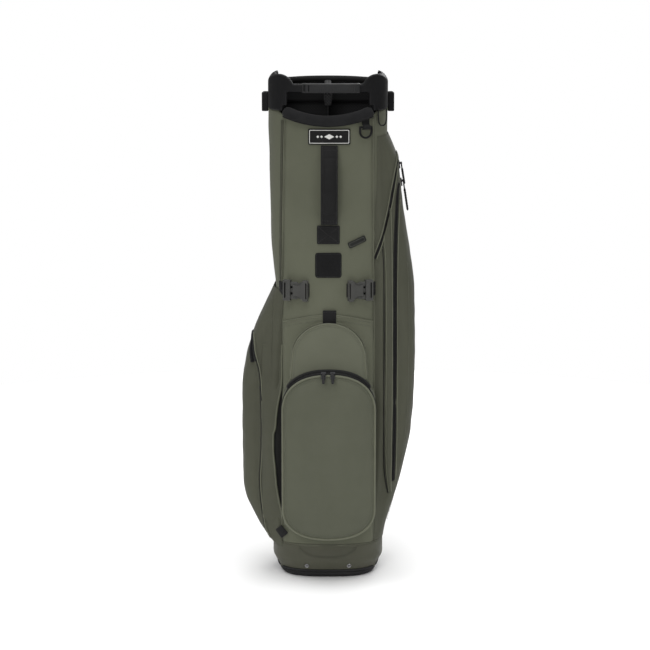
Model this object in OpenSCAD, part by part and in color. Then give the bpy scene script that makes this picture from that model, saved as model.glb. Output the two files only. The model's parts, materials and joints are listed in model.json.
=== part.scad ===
// Golf stand bag: soft tube with pockets, moulded cuff and boot, folding legs worked by the sole plate.
// Millimetres. +Z up, -Y is the front face with the ball pocket, +X is the side with the long pocket.
// The origin is the middle of the flat underside of the sole plate.

/* [Body] */
// Width of the fabric tube
tube_w = 196; // [170:1:240]
// Depth of the fabric tube
tube_d = 184; // [165:1:225]
// Thickness of the tube's fabric, foam and lining
tube_wall = 3.5; // [2.5:0.5:5]
// Height of the peak of the cuff's shoulders
bag_h = 890; // [800:5:1080]

/* [Boot and sole] */
// Height of the boot's upper edge
boot_h = 64; // [52:1:80]
// Thickness of the boot's wall and floor
boot_wall = 3; // [2:0.5:4]
// Thickness of the hinged sole plate
sole_h = 11; // [9:0.5:14]
// How far the sole's lower edge is set in from the tube's outline
sole_inset = 24; // [16:1:30]

/* [Cuff] */
// Height of the cuff's ring at the back
cuff_h = 46; // [40:1:60]
// Width of the ring's section
cuff_t = 12.5; // [10:0.5:16]
// How far the ring stands out from the tube
cuff_out = 6; // [4:0.5:9]
// Height of the shoulders above the rim
shoulder_h = 16; // [8:1:20]
// Height of the front bar
bar_h = 12.5; // [10:0.5:16]
// Width of the hand hole under the front bar
hand_w = 140; // [110:1:150]
// Thickness of the padded roll under the hand hole
roll_t = 19; // [14:1:24]

/* [Ball pocket] */
// Width of the ball pocket
ball_w = 160; // [130:1:166]
// Height of the ball pocket's lower edge
ball_z1 = 86; // [84:1:120]
// Height of the ball pocket's upper edge
ball_z2 = 384; // [340:1:420]
// How far the ball pocket stands out
ball_out = 58; // [40:1:80]

/* [Side pockets] */
// How far the long pocket stands out
long_out = 56; // [40:1:75]
// Height of the long pocket's upper end
long_z2 = 745; // [650:5:760]
// How far the short pocket stands out
short_out = 55; // [40:1:75]
// Height of the short pocket's upper end
short_z2 = 517; // [440:1:560]

/* [Stand] */
// Radius of a leg's tube
leg_r = 6.5; // [5:0.5:8]
// Length of a leg from its pivot to the end of its foot
leg_len = 740; // [600:5:760]
// Angle between a leg's swing and straight back
splay = 35; // [25:1:45]
// Radius of a leg's pivot pin
pivot_r = 3; // [2:0.25:4]
// Radius of the pull rods
rod_r = 2; // [1.5:0.25:3]

/* [Webbing and fittings] */
// Width of the carry strap
carry_w = 31; // [25:1:40]
// Clear height under the carry strap
carry_gap = 24; // [18:1:35]
// Width of the shoulder pads
pad_w = 48; // [40:1:55]
// Thickness of the shoulder pads
pad_t = 12; // [8:1:18]
// Width of a buckle's webbing
web_w = 25; // [20:1:30]
// Wire radius of the towel ring
ring_wire = 1.75; // [1.25:0.25:2.5]

/* [Hidden] */
$fn = 48;
far = 400;                      // longer than any cut needs
gap = 0.3;                      // between soft or moving neighbours
seat = 0.1;                     // between fixed neighbours
half_w = tube_w / 2;
half_d = tube_d / 2;
n_front = 3;                    // squareness of the tube's front half
n_back = 2.3;                   // squareness of its back half
outline_n = 72;                 // points round the tube's outline

// ---- The tube's outline and places on it ----

// Point of the outline, grown by o, at parameter t: 270 is the middle of the front
function on_outline(o, t) =
    let (c = cos(t), s = sin(t), n = s < 0 ? n_front : n_back)
    [(half_w + o) * sign(c) * pow(abs(c), 2 / n), (half_d + o) * sign(s) * pow(abs(s), 2 / n)];
function outline(o) = [for (i = [0:outline_n - 1]) on_outline(o, 360 * i / outline_n)];
// Parameter of the front point at x
function front_t(x) = 270 + sign(x) * asin(pow(abs(x) / half_w, n_front / 2));
function front_y(x, o = 0) = on_outline(o, front_t(x))[1];
// Direction of the outline's tangent at t, in degrees from +X
function heading(t) =
    let (d = on_outline(0, t + 0.5) - on_outline(0, t - 0.5)) atan2(d[1], d[0]);
// Puts children on the outline: local X runs along it, local -Y points out
module at_outline(t, o, z) {
    p = on_outline(o, t);
    translate([p[0], p[1], z]) rotate([0, 0, heading(t)]) children();
}
module band(o1, o2, z1, z2) {
    translate([0, 0, z1]) linear_extrude(z2 - z1) difference() {
        polygon(outline(o2));
        polygon(outline(o1));
    }
}
module filled(o, z1, z2) {
    translate([0, 0, z1]) linear_extrude(z2 - z1) polygon(outline(o));
}
// Draws 2D children, given as x and z, through the front half
module through_front(y1 = -far, y2 = 0) {
    translate([0, y2, 0]) rotate([90, 0, 0]) linear_extrude(y2 - y1) children();
}
// Draws 2D children, given as y and z, from x1 to x2
module through_side(x1, x2) {
    translate([x1, 0, 0]) rotate([90, 0, 90]) linear_extrude(x2 - x1) children();
}
module round_rect(w, h, r) {
    square([w - 2 * r, h], center = true);
    square([w, h - 2 * r], center = true);
    for (x = [-1, 1], z = [-1, 1]) translate([x * (w / 2 - r), z * (h / 2 - r)]) circle(r);
}
module both_sides() {
    children();
    mirror([1, 0, 0]) children();
}
// A flat piece that follows the tube's front, cut to a 2D outline in x and z
module front_patch(o1, o2, z1, z2) {
    intersection() {
        band(o1, o2, z1, z2);
        through_front() children();
    }
}

// ---- Heights ----
rim_z = bag_h - shoulder_h;
cuff_z = rim_z - cuff_h;
roll_r = 182;                   // of the scoop's centre line, seen from the front
roll_mid_z = cuff_z - 16;       // the roll's centre line at the middle
roll_z = roll_mid_z + roll_r;   // centre of the scoop's circle
plate_w = 72;                   // of the name plate
plate_h = 27;
plate_z = roll_mid_z - 26.5;    // middle of the name plate
carry_z2 = plate_z - plate_h / 2 - 0.5;     // upper end of the carry strap
carry_len = 138;
carry_z1 = carry_z2 - carry_len;
glove_z = carry_z1 - 70;
buckle_z = glove_z - 44;
panel_z = buckle_z - 44;        // top of the front panel
tube_top = cuff_z - seat;
lip = gap + boot_wall;          // the boot's and the cuff's collars stand this far in

// ---- Boot, sole and the hinge between them ----
sole_tilt_gap = 0.3;            // between sole plate and boot
boot_z = sole_h + sole_tilt_gap;
boot_taper = 11;                // how far the boot narrows towards its floor
boot_waist = 32;                // where the taper starts
hinge_y = half_d + 6;
hinge_z = 12;
hinge_r = 2.5;
knuckle_r = 6;                  // of the sole's hinge barrels
barrel_x = 28;                  // inner end of the boot's hinge lugs
barrel_w = 12;
running = 0.05;                 // round a pin
sole_arm = 13;                  // from the sole's hinge to the rods' lower pins
sole_swing = 25;                // how far the sole opens
rod_pin_r = 1.5;
rod_x = 18;                     // of the rods' lower pins
rod_y = hinge_y + sole_arm * cos(sole_swing / 2);
rod_z = hinge_z - sole_arm * sin(sole_swing / 2);

module boot_solid(shrink, z1, z2) {
    hull() {
        filled(-boot_taper - shrink, z1, z1 + 0.1);
        filled(-shrink, boot_waist, z2);
    }
}
module hinge_lug(x, w, r) {
    translate([x, hinge_y, hinge_z]) rotate([0, 90, 0]) cylinder(h = w, r = r);
}
module boot() {
    inset = boot_wall + tube_wall + gap;
    color("darkolivegreen") difference() {
        union() {
            difference() {
                boot_solid(0, boot_z, boot_h);
                boot_solid(inset, boot_z + boot_wall, boot_h + 1);
            }
            band(-tube_wall - lip, -tube_wall - gap, boot_h - 4, boot_h + 26);
            both_sides() {
                hinge_lug(barrel_x, barrel_w, knuckle_r);
                translate([barrel_x, half_d - 28, hinge_z])
                    cube([barrel_w, hinge_y - half_d + 28, knuckle_r]);
                stay_places() cylinder(h = socket_h, r = collar_r);
            }
        }
        both_sides() {
            hinge_lug(barrel_x - 1, barrel_w + 2, hinge_r + running);
            stay_places() translate([0, 0, stay_lift - 0.5]) cylinder(h = far, r = stay_r + running);
        }
        boot_screw_places() cylinder(h = 24, r = 1.6, center = true);
    }
}
// The screws stand square to the boot's tapered front
module boot_screw_places() {
    slope = atan2(boot_taper, boot_waist - boot_z);
    z = (boot_z + boot_waist) / 2 + 2;
    both_sides() at_outline(front_t(39), -boot_taper * (boot_waist - z) / (boot_waist - boot_z), z)
        rotate([90 + slope, 0, 0]) children();
}
module boot_screws() {
    color("silver") boot_screw_places() {
        translate([0, 0, seat + 0.1]) cylinder(h = 2, r1 = 4, r2 = 3);
        translate([0, 0, -8]) cylinder(h = 8.3, r = 1.5);
    }
}
module sole_plate() {
    heel_w = 2 * (barrel_x + 2 * barrel_w + gap) + 4;
    sole_barrel = barrel_x + barrel_w + gap;
    color("black") difference() {
        union() {
            hull() {
                filled(-sole_inset, 0, 1);
                filled(-sole_inset + 10, 6, sole_h);
            }
            translate([-heel_w / 2, half_d / 3, 0]) cube([heel_w, rod_y + 5 - half_d / 3, 4]);
            both_sides() {
                hinge_lug(sole_barrel, barrel_w, knuckle_r);
                translate([sole_barrel, hinge_y - knuckle_r, 1]) cube([barrel_w, 2 * knuckle_r, hinge_z - 1]);
                translate([rod_x - 5.5, rod_y - 4, 1]) cube([3, 8, rod_z - 1]);
                translate([rod_x - 5.5, rod_y, rod_z]) rotate([0, 90, 0]) {
                    cylinder(h = 3, r = 4);
                    cylinder(h = 9, r = rod_pin_r);
                }
            }
        }
        both_sides() hinge_lug(sole_barrel - 1, barrel_w + 2, hinge_r + running);
    }
}
module sole_hinge_pin() {
    color("silver") both_sides() hinge_lug(barrel_x - 2, 2 * barrel_w + gap + 4, hinge_r);
}

// ---- Tube, dividers and stays ----
stay_r = 2.5;
stay_back_t = 46;               // outline parameters of the stays
stay_front_t = 330;
stay_z = boot_z + 1;            // foot of the boot's sockets for the stays
socket_h = 28;                  // height of those sockets
stay_lift = 4.5;                // from the sockets' foot to the stays' lower ends
stay_top = cuff_z + 10;
collar_r = 6.4;                 // round the stays
collar_z = cuff_z - 18;         // foot of the cuff's collars for the stays
collar_h = 34;
panel_t = 2;                    // thickness of the divider panels
lining_t = 1.2;                 // of the cuff
well_o = cuff_out - cuff_t - lining_t - gap - seat;     // the dividers' outline
module stay_places() {
    for (t = [stay_back_t, stay_front_t]) {
        p = on_outline(-tube_wall - lip - 5.5, t);
        translate([p[0], p[1], stay_z]) children();
    }
}
module bag_tube() {
    color("darkolivegreen") difference() {
        band(-tube_wall, 0, boot_h + seat, tube_top);
        through_front(-far, -half_d / 3) roll_band(roll_t / 2 + gap, hand_w / 2 + 7, far);
    }
}
module stays() {
    color("gray") both_sides() stay_places() translate([0, 0, stay_lift])
        cylinder(h = stay_top - stay_z - stay_lift, r = stay_r);
}
module cross(w, o, z1, z2) {
    intersection() {
        filled(o, z1, z2);
        union() {
            translate([-far / 2, -w / 2, z1]) cube([far, w, z2 - z1]);
            translate([-w / 2, -far / 2, z1]) cube([w, far, z2 - z1]);
        }
    }
}
module divider_panels() {
    color("dimgray") cross(panel_t, well_o, boot_h - 30, cuff_z + 9);
}
module divider_bars() {
    color("black") cross(12, well_o - gap - seat, cuff_z + 9 + seat, rim_z - 6);
}

// ---- Cuff ----
bar_z = rim_z - bar_h;
// The scoop's band under the hand hole, between two circles, seen from the front
module roll_band(half, w, up) {
    intersection() {
        difference() {
            translate([0, roll_z]) circle(roll_r + half, $fn = 180);
            translate([0, roll_z]) circle(max(roll_r - half - up, 0.01), $fn = 180);
        }
        translate([-w, 0]) square([2 * w, bag_h]);
        translate([-w, roll_mid_z - 2 * roll_t]) square([2 * w, cuff_z + 18 - roll_mid_z + 2 * roll_t]);
    }
}
module shoulder_outline() {
    peak_x = half_w - 16;
    translate([peak_x, rim_z - 8]) circle(shoulder_h + 8);
}
module cuff_ring() {
    inner = cuff_out - cuff_t;
    color("black") difference() {
        union() {
            band(inner, cuff_out, cuff_z, rim_z);
            band(-tube_wall - lip, -tube_wall - gap, cuff_z - 26, cuff_z + 1);
            both_sides() {
                intersection() {
                    band(inner, cuff_out, cuff_z, bag_h + 1);
                    through_front(-far, far) shoulder_outline();
                    through_side(0, far) polygon([
                        [-far, cuff_z], [-far, far * 3], [-half_d * 0.3, far * 3], [half_d * 0.4, rim_z - 1],
                        [half_d * 0.4, cuff_z]
                    ]);
                }
                stay_collars();
            }
        }
        translate([-hand_w / 2, -far, cuff_z - 40]) cube([hand_w, far - half_d / 3, bar_z - cuff_z + 40]);
        through_front(-far, -half_d / 3) roll_band(roll_t / 2 + gap, hand_w / 2 + 7, 0);
        both_sides() stay_places() cylinder(h = stay_top + 1 - stay_z, r = stay_r + running);
    }
}
// Collars that hold the stays' upper ends
module stay_collars() {
    intersection() {
        filled(cuff_out - 1, collar_z, collar_z + collar_h);
        stay_places() translate([0, 0, collar_z - stay_z]) cylinder(h = collar_h, r = collar_r);
    }
}
module cuff_grip() {
    grip_w = 98;
    color("dimgray") translate([5, 0, 0]) difference() {
        front_patch(cuff_out - cuff_t - 1.6, cuff_out + 1.6, bar_z - 1.6, rim_z + 1.6)
            translate([0, rim_z - bar_h / 2]) square([grip_w, 40], center = true);
        translate([-5, 0, 0]) band(cuff_out - cuff_t - seat, cuff_out + seat, bar_z - seat, rim_z + seat);
    }
}
module cuff_roll() {
    color("black") intersection() {
        band(cuff_out - cuff_t, 9, roll_mid_z - 2 * roll_t, bag_h);
        through_front(-far, -half_d / 3) roll_band(roll_t / 2, hand_w / 2 + 6.5, 0);
    }
}
module cuff_lining() {
    inner = cuff_out - cuff_t;
    color("dimgray") difference() {
        band(inner - seat - lining_t, inner - seat, cuff_z + 1, rim_z - 1);
        translate([-half_w, -far, cuff_z - 1]) cube([2 * half_w, far - half_d / 2, cuff_h + 2]);
        both_sides() stay_places() cylinder(h = collar_z + collar_h + gap - stay_z, r = collar_r + seat);
    }
}

// ---- Front fittings ----
module name_plate() {
    color("black") front_patch(seat, 2.4, plate_z - plate_h / 2, plate_z + plate_h / 2)
        translate([2, plate_z]) round_rect(plate_w, plate_h, 3);
}
module carry_strap() {
    t = 3.5;
    foot_h = 8;
    rise = carry_gap + t;
    r = (pow(carry_len / 2, 2) + pow(rise, 2)) / (2 * rise);
    y = front_y(carry_w / 2) - seat;
    color("black") translate([2, y, (carry_z1 + carry_z2) / 2]) {
        translate([-carry_w / 2, 0, 0]) rotate([90, 0, 90]) linear_extrude(carry_w) intersection() {
            translate([r - rise, 0]) difference() {
                circle(r, $fn = 180);
                circle(r - t, $fn = 180);
            }
            translate([-far - 2.6, -carry_len / 2]) square([far, carry_len]);
        }
        for (z = [-1, 1]) translate([-carry_w / 2, -4, z * (carry_len - foot_h) / 2 - foot_h / 2])
            cube([carry_w, t, foot_h]);
    }
}
module carry_strap_patch() {
    patch_h = 32;
    color("black") front_patch(seat, 3, carry_z1 - patch_h - 2, carry_z1 - seat)
        translate([0.5, carry_z1 - patch_h / 2 - 1]) round_rect(39, patch_h, 2);
}
module glove_patch() {
    patch_w = 45.5;
    patch_h = 43.5;
    color("black") front_patch(seat, 2, glove_z - patch_h / 2 - 1, glove_z + patch_h / 2 + 1)
        translate([0.5, glove_z]) round_rect(patch_w, patch_h, 5);
}
module side_tag() {
    color("dimgray") front_patch(seat, 2.5, glove_z, glove_z + 100) translate([50, carry_z1 - 30])
        rotate(24) round_rect(32, 11, 1.5);
}
ring_x = 61;
ring_z = plate_z + 16;          // the ring's hinge line
ring_r = 12.5;
module ring_frame() {
    at_outline(front_t(ring_x), 5.2, ring_z) children();
}
module ring_tab() {
    color("black") ring_frame() difference() {
        union() {
            translate([-7, -2.5, 0]) cube([14, 7.4, 8]);
            rotate([0, 90, 0]) cylinder(h = 14, r = 4.6, center = true);
        }
        rotate([0, 90, 0]) cylinder(h = 16, r = ring_wire + gap, center = true);
        translate([-8, -12, -12]) cube([16, 12, 12]);
    }
}
module towel_ring() {
    turn = ring_r * 0.6;
    color("black") ring_frame() {
        rotate([0, 90, 0]) cylinder(h = 2 * ring_r - 2 * ring_wire, r = ring_wire, center = true);
        for (x = [-1, 1]) translate([x * (ring_r - ring_wire), 0, 0]) {
            sphere(ring_wire);
            translate([0, 0, -turn]) cylinder(h = turn, r = ring_wire);
        }
        translate([0, 0, -turn]) rotate([90, 0, 0]) rotate_extrude(angle = -180)
            translate([ring_r - ring_wire, 0]) circle(ring_wire, $fn = 24);
    }
}
// Loop of tape that hangs from the cuff beside the front seam, open towards the front
loop_y = -half_d * 0.68;
module towel_loop() {
    x = on_outline(0, 360 - asin(pow(0.55, n_front / 2)))[0] + 0.8;
    loop_w = 11.5;
    loop_h = 34;
    tape_t = 2;
    color("black") translate([x, loop_y, cuff_z - loop_h]) difference() {
        cube([loop_w, 8, loop_h - seat]);
        translate([tape_t, -1, tape_t]) cube([loop_w - 2 * tape_t, 10, loop_h - 2 * tape_t]);
    }
}
// Moulded lugs at the cuff's sides, where straps and accessories clip on
module side_lugs() {
    lug_w = 26;
    lug_h = 33;
    lug_out = 17;
    slot_w = 14;
    color("black") both_sides() difference() {
        at_outline(6, 0, cuff_z - 8) translate([-lug_w / 2, -lug_out, 0]) cube([lug_w, lug_out, lug_h]);
        at_outline(6, 0, cuff_z - 8) translate([-slot_w / 2, 3 - lug_out, -1]) cube([slot_w, 4, lug_h + 2]);
        filled(cuff_out + seat, 0, bag_h);
    }
}

// ---- Front panel and pockets ----
panel_w = 158;
cover = 3;                      // thickness of the front panel
module front_panel() {
    r = 420;
    color("darkolivegreen") front_patch(seat, cover, boot_h + 2, panel_z) intersection() {
        translate([0, panel_z - r]) circle(r, $fn = 180);
        translate([-panel_w / 2, 0]) square([panel_w, bag_h]);
    }
}
tab_w = 23;                     // of the webbing tab at the panel's top
tab_h = 25;
tab_t = 2;
module panel_tab_outline(o) {
    translate([2.5, panel_z - 9]) square([tab_w + o, tab_h + o], center = true);
}
module panel_tab() {
    color("black") front_patch(cover + seat, cover + tab_t, panel_z - tab_h, panel_z + tab_h)
        panel_tab_outline(0);
}
pocket_back = cover + gap;
ball_y = front_y(0) - ball_out;
module ball_outline(inset) {
    top_r = 60;
    foot_r = 46;
    w = ball_w / 2 - inset;
    hull() for (x = [-1, 1]) {
        translate([x * (w - top_r + inset), ball_z2 - top_r]) circle(top_r - inset, $fn = 32);
        translate([x * (w - foot_r + inset), ball_z1 + foot_r]) circle(foot_r - inset, $fn = 32);
    }
}
module ball_pocket() {
    color("darkolivegreen") difference() {
        hull() {
            through_front(ball_y + 16, -half_d / 2) ball_outline(0);
            through_front(ball_y, -half_d / 2) ball_outline(16);
        }
        filled(pocket_back, 0, bag_h);
    }
}
module ball_zip() {
    color("black") intersection() {
        through_front(ball_y + 22, ball_y + 30) difference() {
            ball_outline(-3);
            ball_outline(-gap);
        }
        translate([-60, -far, ball_z2 - 24]) cube([120, far, 40]);
    }
}
module hood_pouch() {
    w = 66;
    top = ball_z2 + 82;
    foot = ball_z2 - 20;
    color("darkolivegreen") difference() {
        intersection() {
            through_front() {
                translate([0, foot]) translate([-w, 0]) square([2 * w, top - w - foot]);
                translate([0, top - w]) circle(w);
            }
            through_side(-far, far) polygon([
                [0, foot], [ball_y + 34, foot], [ball_y + 34, ball_z2 + 10],
                [front_y(0) - pocket_back - 9, top], [0, top]
            ]);
        }
        filled(pocket_back, 0, bag_h);
        through_front(-far, 0) ball_outline(-3.5);
        front_patch(cover, cover + tab_t + gap, panel_z - tab_h, panel_z + tab_h) panel_tab_outline(1);
    }
}

// Reach from the tube's side, as a share of the most, and height of the pocket's edge, from the foot up
function long_edge() = [
    [0, boot_h + 4], [0.3, 0.155 * long_z2], [0.66, 0.262 * long_z2], [0.95, 0.43 * long_z2],
    [1, 0.63 * long_z2], [0.78, 0.79 * long_z2], [0.42, 0.99 * long_z2], [0, long_z2 + 30]
];
function short_edge() = [
    [0, boot_h + 4], [0.4, 0.17 * short_z2], [0.93, 0.27 * short_z2], [1, 0.36 * short_z2],
    [1, 0.68 * short_z2], [0.62, 0.84 * short_z2], [0, short_z2]
];
side_front = half_d * 0.6;      // how far forward the side pockets reach
side_back = half_d * 0.46;      // and how far back
side_r = 26;                    // of their upright corners
module side_pocket_solid(out, edge) {
    foot = edge[0][1];
    top = edge[len(edge) - 1][1];
    difference() {
        intersection() {
            through_front(-side_front, side_back)
                polygon(concat([[0, foot]], [for (p = edge) [half_w + p[0] * out, p[1]]], [[0, top]]));
            linear_extrude(bag_h) round_side(out);
        }
        filled(gap, 0, bag_h);
    }
}
module round_side(out) {
    x2 = half_w + out;
    translate([0, -side_front]) square([x2 - side_r, side_front + side_back]);
    translate([0, side_r - side_front]) square([x2, side_front + side_back - 2 * side_r]);
    translate([x2 - side_r, side_r - side_front]) circle(side_r);
    translate([x2 - side_r, side_back - side_r]) circle(side_r);
}
module long_pocket() {
    color("darkolivegreen") side_pocket_solid(long_out, long_edge());
}
module short_pocket() {
    color("darkolivegreen") mirror([1, 0, 0]) side_pocket_solid(short_out, short_edge());
}
zip_w = 7;
zip_t = 1.5;
// A zip's tape on the front face of a side pocket
module side_zip(x, z1, z2) {
    translate([x, -side_front - zip_t - seat, z1]) cube([zip_w, zip_t, z2 - z1]);
}
module long_zip() {
    color("black") side_zip(half_w + 6, 0.26 * long_z2, 0.9 * long_z2);
}
module short_zip() {
    color("black") mirror([1, 0, 0]) side_zip(half_w + 15, 0.22 * short_z2, 0.68 * short_z2);
}
// The sleeve is a free-edged panel in front of the short pocket, with a floor
sleeve_z1 = ball_z1 + 14;
sleeve_z2 = ball_z2 - 39;
sleeve_t = 2.3;
sleeve_floor = 3;
sleeve_y = -side_front - gap;   // the sleeve's back edge
sleeve_reach = 31;              // and how far forward of it the free edge stands
module sleeve_plan() {
    polygon([
        [-half_w - 1, sleeve_y], [-half_w + 12, sleeve_y - sleeve_reach],
        [-half_w + 12 + sleeve_t, sleeve_y - sleeve_reach + 1], [-half_w + 1.5, sleeve_y]
    ]);
}
module bottle_sleeve() {
    color("darkolivegreen") {
        translate([0, 0, sleeve_z1]) linear_extrude(sleeve_z2 - sleeve_z1) sleeve_plan();
        difference() {
            translate([0, 0, sleeve_z1]) linear_extrude(sleeve_floor) polygon([
                [-half_w - 1, sleeve_y], [-half_w + 12, sleeve_y - sleeve_reach],
                [-half_w + 16, sleeve_y - sleeve_reach + 7], [-half_w + 16, sleeve_y]
            ]);
            filled(gap, 0, bag_h);
        }
    }
}
module sleeve_tab() {
    color("black") front_patch(cover + seat, cover + 2, 0, ball_z1 + 20)
        translate([-panel_w / 2 - 1, ball_z1 + 3]) rotate(45) square(16, center = true);
}

// ---- Zip sliders and pulls ----
pull_w = 4;
pull_t = 1.8;
pull_pin = 0.9;
// A slider: its hinge pin lies on local X at the origin, and local -Y points out of the pocket
module slider() {
    translate([-4, 2.5, -9]) cube([8, pull_out - 2.8, 14]);
    for (x = [-1, 1]) translate([x * 3.2 - 0.8, -1.6, -1.6]) cube([1.6, 4.2, 3.2]);
    rotate([0, 90, 0]) cylinder(h = 6.4, r = pull_pin, center = true, $fn = 24);
}
module pull(length) {
    difference() {
        union() {
            rotate([0, 90, 0]) cylinder(h = pull_w, r = 2.2, center = true, $fn = 24);
            translate([-pull_w / 2, -1, -length]) cube([pull_w, pull_t, length - 1]);
        }
        rotate([0, 90, 0]) cylinder(h = 9, r = pull_pin + running, center = true, $fn = 24);
    }
}
long_slope = atan2(0.36 * long_out, 0.2 * long_z2);
ball_slope = 45;
pull_out = 4.9;                 // from the pocket's skin to a pull's pin
long_upper_z = long_z2 - 12;
long_lower_z = long_z2 - 45;
function long_x(z) = half_w + long_out * (0.42 + (0.99 * long_z2 - z) / (0.2 * long_z2) * 0.36);
module ball_pull_frame(side) {
    translate([side * 8, ball_y + 12 - pull_out * sin(ball_slope), ball_z2 - 4 + pull_out * cos(ball_slope)])
        rotate([-ball_slope, 0, 0]) children();
}
module long_pull_frame(z, y) {
    translate([long_x(z) + pull_out / cos(long_slope), y, z]) rotate([0, -long_slope, 0]) rotate([0, 0, 90])
        children();
}
module short_pull_frame() {
    translate([-half_w - 18.5, -side_front - zip_t - seat - pull_out, 0.66 * short_z2]) children();
}
module zip_sliders() {
    color("dimgray") {
        ball_pull_frame(-1) slider();
        ball_pull_frame(1) slider();
        long_pull_frame(long_upper_z, -26) slider();
        long_pull_frame(long_lower_z, -8) slider();
        short_pull_frame() slider();
    }
}
module ball_pull_left() {
    color("black") ball_pull_frame(-1) pull(22);
}
module ball_pull_right() {
    color("black") ball_pull_frame(1) pull(22);
}
module long_pull_upper() {
    color("black") long_pull_frame(long_upper_z, -26) pull(38);
}
module long_pull_lower() {
    color("black") long_pull_frame(long_lower_z, -8) pull(54);
}
module short_pull() {
    color("black") short_pull_frame() pull(24);
}

// ---- Side-release buckles ----
buckle_x = 54;                  // middle of a buckle
buckle_h = 36;
buckle_t = 9;
mouth_x = 4;                    // the socket's open end
socket_x = -22;                 // the socket's closed end
shoulder_x = 9;                 // the tongue's end that meets the socket
// Local X runs along the webbing, towards the tongue
module buckle_frame(side) {
    at_outline(front_t(side * buckle_x), 1.2, buckle_z) mirror([side < 0 ? 1 : 0, 0, 0]) children();
}
module both_buckles() {
    buckle_frame(-1) children();
    buckle_frame(1) children();
}
module buckle_sockets() {
    color("black") both_buckles() difference() {
        translate([socket_x, -buckle_t, -buckle_h / 2]) cube([mouth_x - socket_x, buckle_t, buckle_h]);
        translate([socket_x + 3.5, 1.5 - buckle_t, -15.5]) cube([30, buckle_t - 3, 31]);
        for (z = [-1, 1]) translate([-3, -10, z * 20]) rotate([-90, 0, 0]) cylinder(h = 12, r = 11);
        translate([socket_x + 1, -20, -web_w / 2 - 1]) cube([2, 40, web_w + 2]);
    }
}
module buckle_tongues() {
    color("black") both_buckles() {
        difference() {
            translate([shoulder_x, -buckle_t, -buckle_h / 2]) cube([13, buckle_t, buckle_h]);
            translate([shoulder_x + 8, -20, -web_w / 2 - 1]) cube([2.5, 40, web_w + 2]);
        }
        translate([-14, -6, -3.5]) cube([shoulder_x + 15, 3, 7]);
    }
}
module prong(side) {
    color("black") mirror([0, 0, side < 0 ? 1 : 0]) difference() {
        translate([-16, -6.5, 7.5]) cube([shoulder_x + 16 - gap, 4, 7.5]);
        translate([-6, -10, 17.5]) rotate([-90, 0, 0]) cylinder(h = 12, r = 4.5);
    }
}
module left_prong_upper() {
    buckle_frame(-1) prong(1);
}
module left_prong_lower() {
    buckle_frame(-1) prong(-1);
}
module right_prong_upper() {
    buckle_frame(1) prong(1);
}
module right_prong_lower() {
    buckle_frame(1) prong(-1);
}
// Webbing from each front seam to its buckle, and the short tail past it
module buckle_webs() {
    color("black") front_patch(seat, 1.1, buckle_z - web_w / 2, buckle_z + web_w / 2) both_sides()
        translate([26, 0]) square([58, bag_h]);
}

// ---- Folding legs ----
leg_t = 48;                     // outline parameter of a leg's pivot
leg_stand = 13;                 // from the tube to a leg's middle
leg_z = cuff_z - 28;
leg_at = on_outline(leg_stand, leg_t);
lever = 11;                     // from a leg's pivot to its rod's pin
leg_swing = 2 * asin(sole_arm * sin(sole_swing / 2) / lever);
knuckle_w = 2 * leg_r + 1;
knuckle_len = 34;               // from a leg's pivot to its tube
foot_len = 46;
foot_r = leg_r + 2.5;
hub_r = leg_r + 0.5;            // round a leg's pivot
rod_pin_y = lever * cos(leg_swing / 2);
ear_w = 5;                      // of the bracket's ears
rod_off = -knuckle_w / 2 - gap - ear_w - 4.7;   // of the rod's upper pin along the pivot
// Local X is the pivot's axis, local Y points away from the bag
module leg_frame(side) {
    mirror([side < 0 ? 1 : 0, 0, 0]) translate([leg_at[0], leg_at[1], leg_z]) rotate([0, 0, -splay])
        children();
}
module leg_brackets() {
    ear_x = knuckle_w / 2 + gap;
    color("black") for (side = [-1, 1]) difference() {
        leg_frame(side) {
            for (x = [-ear_x - ear_w, ear_x]) {
                translate([x, 0, 0]) rotate([0, 90, 0]) cylinder(h = ear_w, r = hub_r);
                translate([x, -24, -hub_r]) cube([ear_w, 24, 2 * hub_r]);
            }
            translate([-ear_x - ear_w, -24, -16]) cube([2 * (ear_x + ear_w), 14, 40]);
        }
        filled(seat, 0, cuff_z + far);
        filled(cuff_out + seat, cuff_z - seat, bag_h);
        leg_frame(side) rotate([0, 90, 0]) cylinder(h = 60, r = pivot_r + running, center = true);
    }
}
module leg_pins() {
    w = knuckle_w + 2 * gap + 2 * ear_w;
    color("silver") for (side = [-1, 1]) leg_frame(side) {
        rotate([0, 90, 0]) cylinder(h = w, r = pivot_r, center = true);
        translate([w / 2 + seat, 0, 0]) rotate([0, 90, 0]) cylinder(h = 1.5, r = pivot_r + 1.5);
    }
}
module leg_knuckle() {
    pin_z = -lever * sin(leg_swing / 2);
    difference() {
        union() {
            rotate([0, 90, 0]) cylinder(h = knuckle_w, r = hub_r, center = true);
            translate([0, 0, -knuckle_len]) cylinder(h = knuckle_len, r = leg_r);
            translate([-5, 3, pin_z - 2.5]) cube([10, rod_pin_y + 1, 5]);
            translate([rod_off + 4, rod_pin_y - 1.6, pin_z - 2.5]) cube([-rod_off + 1, 6, 5]);
            translate([rod_off - 2.5, rod_pin_y, pin_z]) rotate([0, 90, 0]) cylinder(h = 8, r = rod_pin_r);
            translate([rod_off + 2.5, rod_pin_y, pin_z]) rotate([0, 90, 0]) cylinder(h = 3, r = 2.4);
        }
        rotate([0, 90, 0]) cylinder(h = 60, r = pivot_r + running, center = true);
    }
}
module leg_tube() {
    length = leg_len - knuckle_len - foot_len - seat;
    translate([0, 0, -knuckle_len - seat - length]) difference() {
        cylinder(h = length, r = leg_r);
        translate([0, 0, -1]) cylinder(h = leg_len, r = leg_r - 1.1);
    }
}
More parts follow.
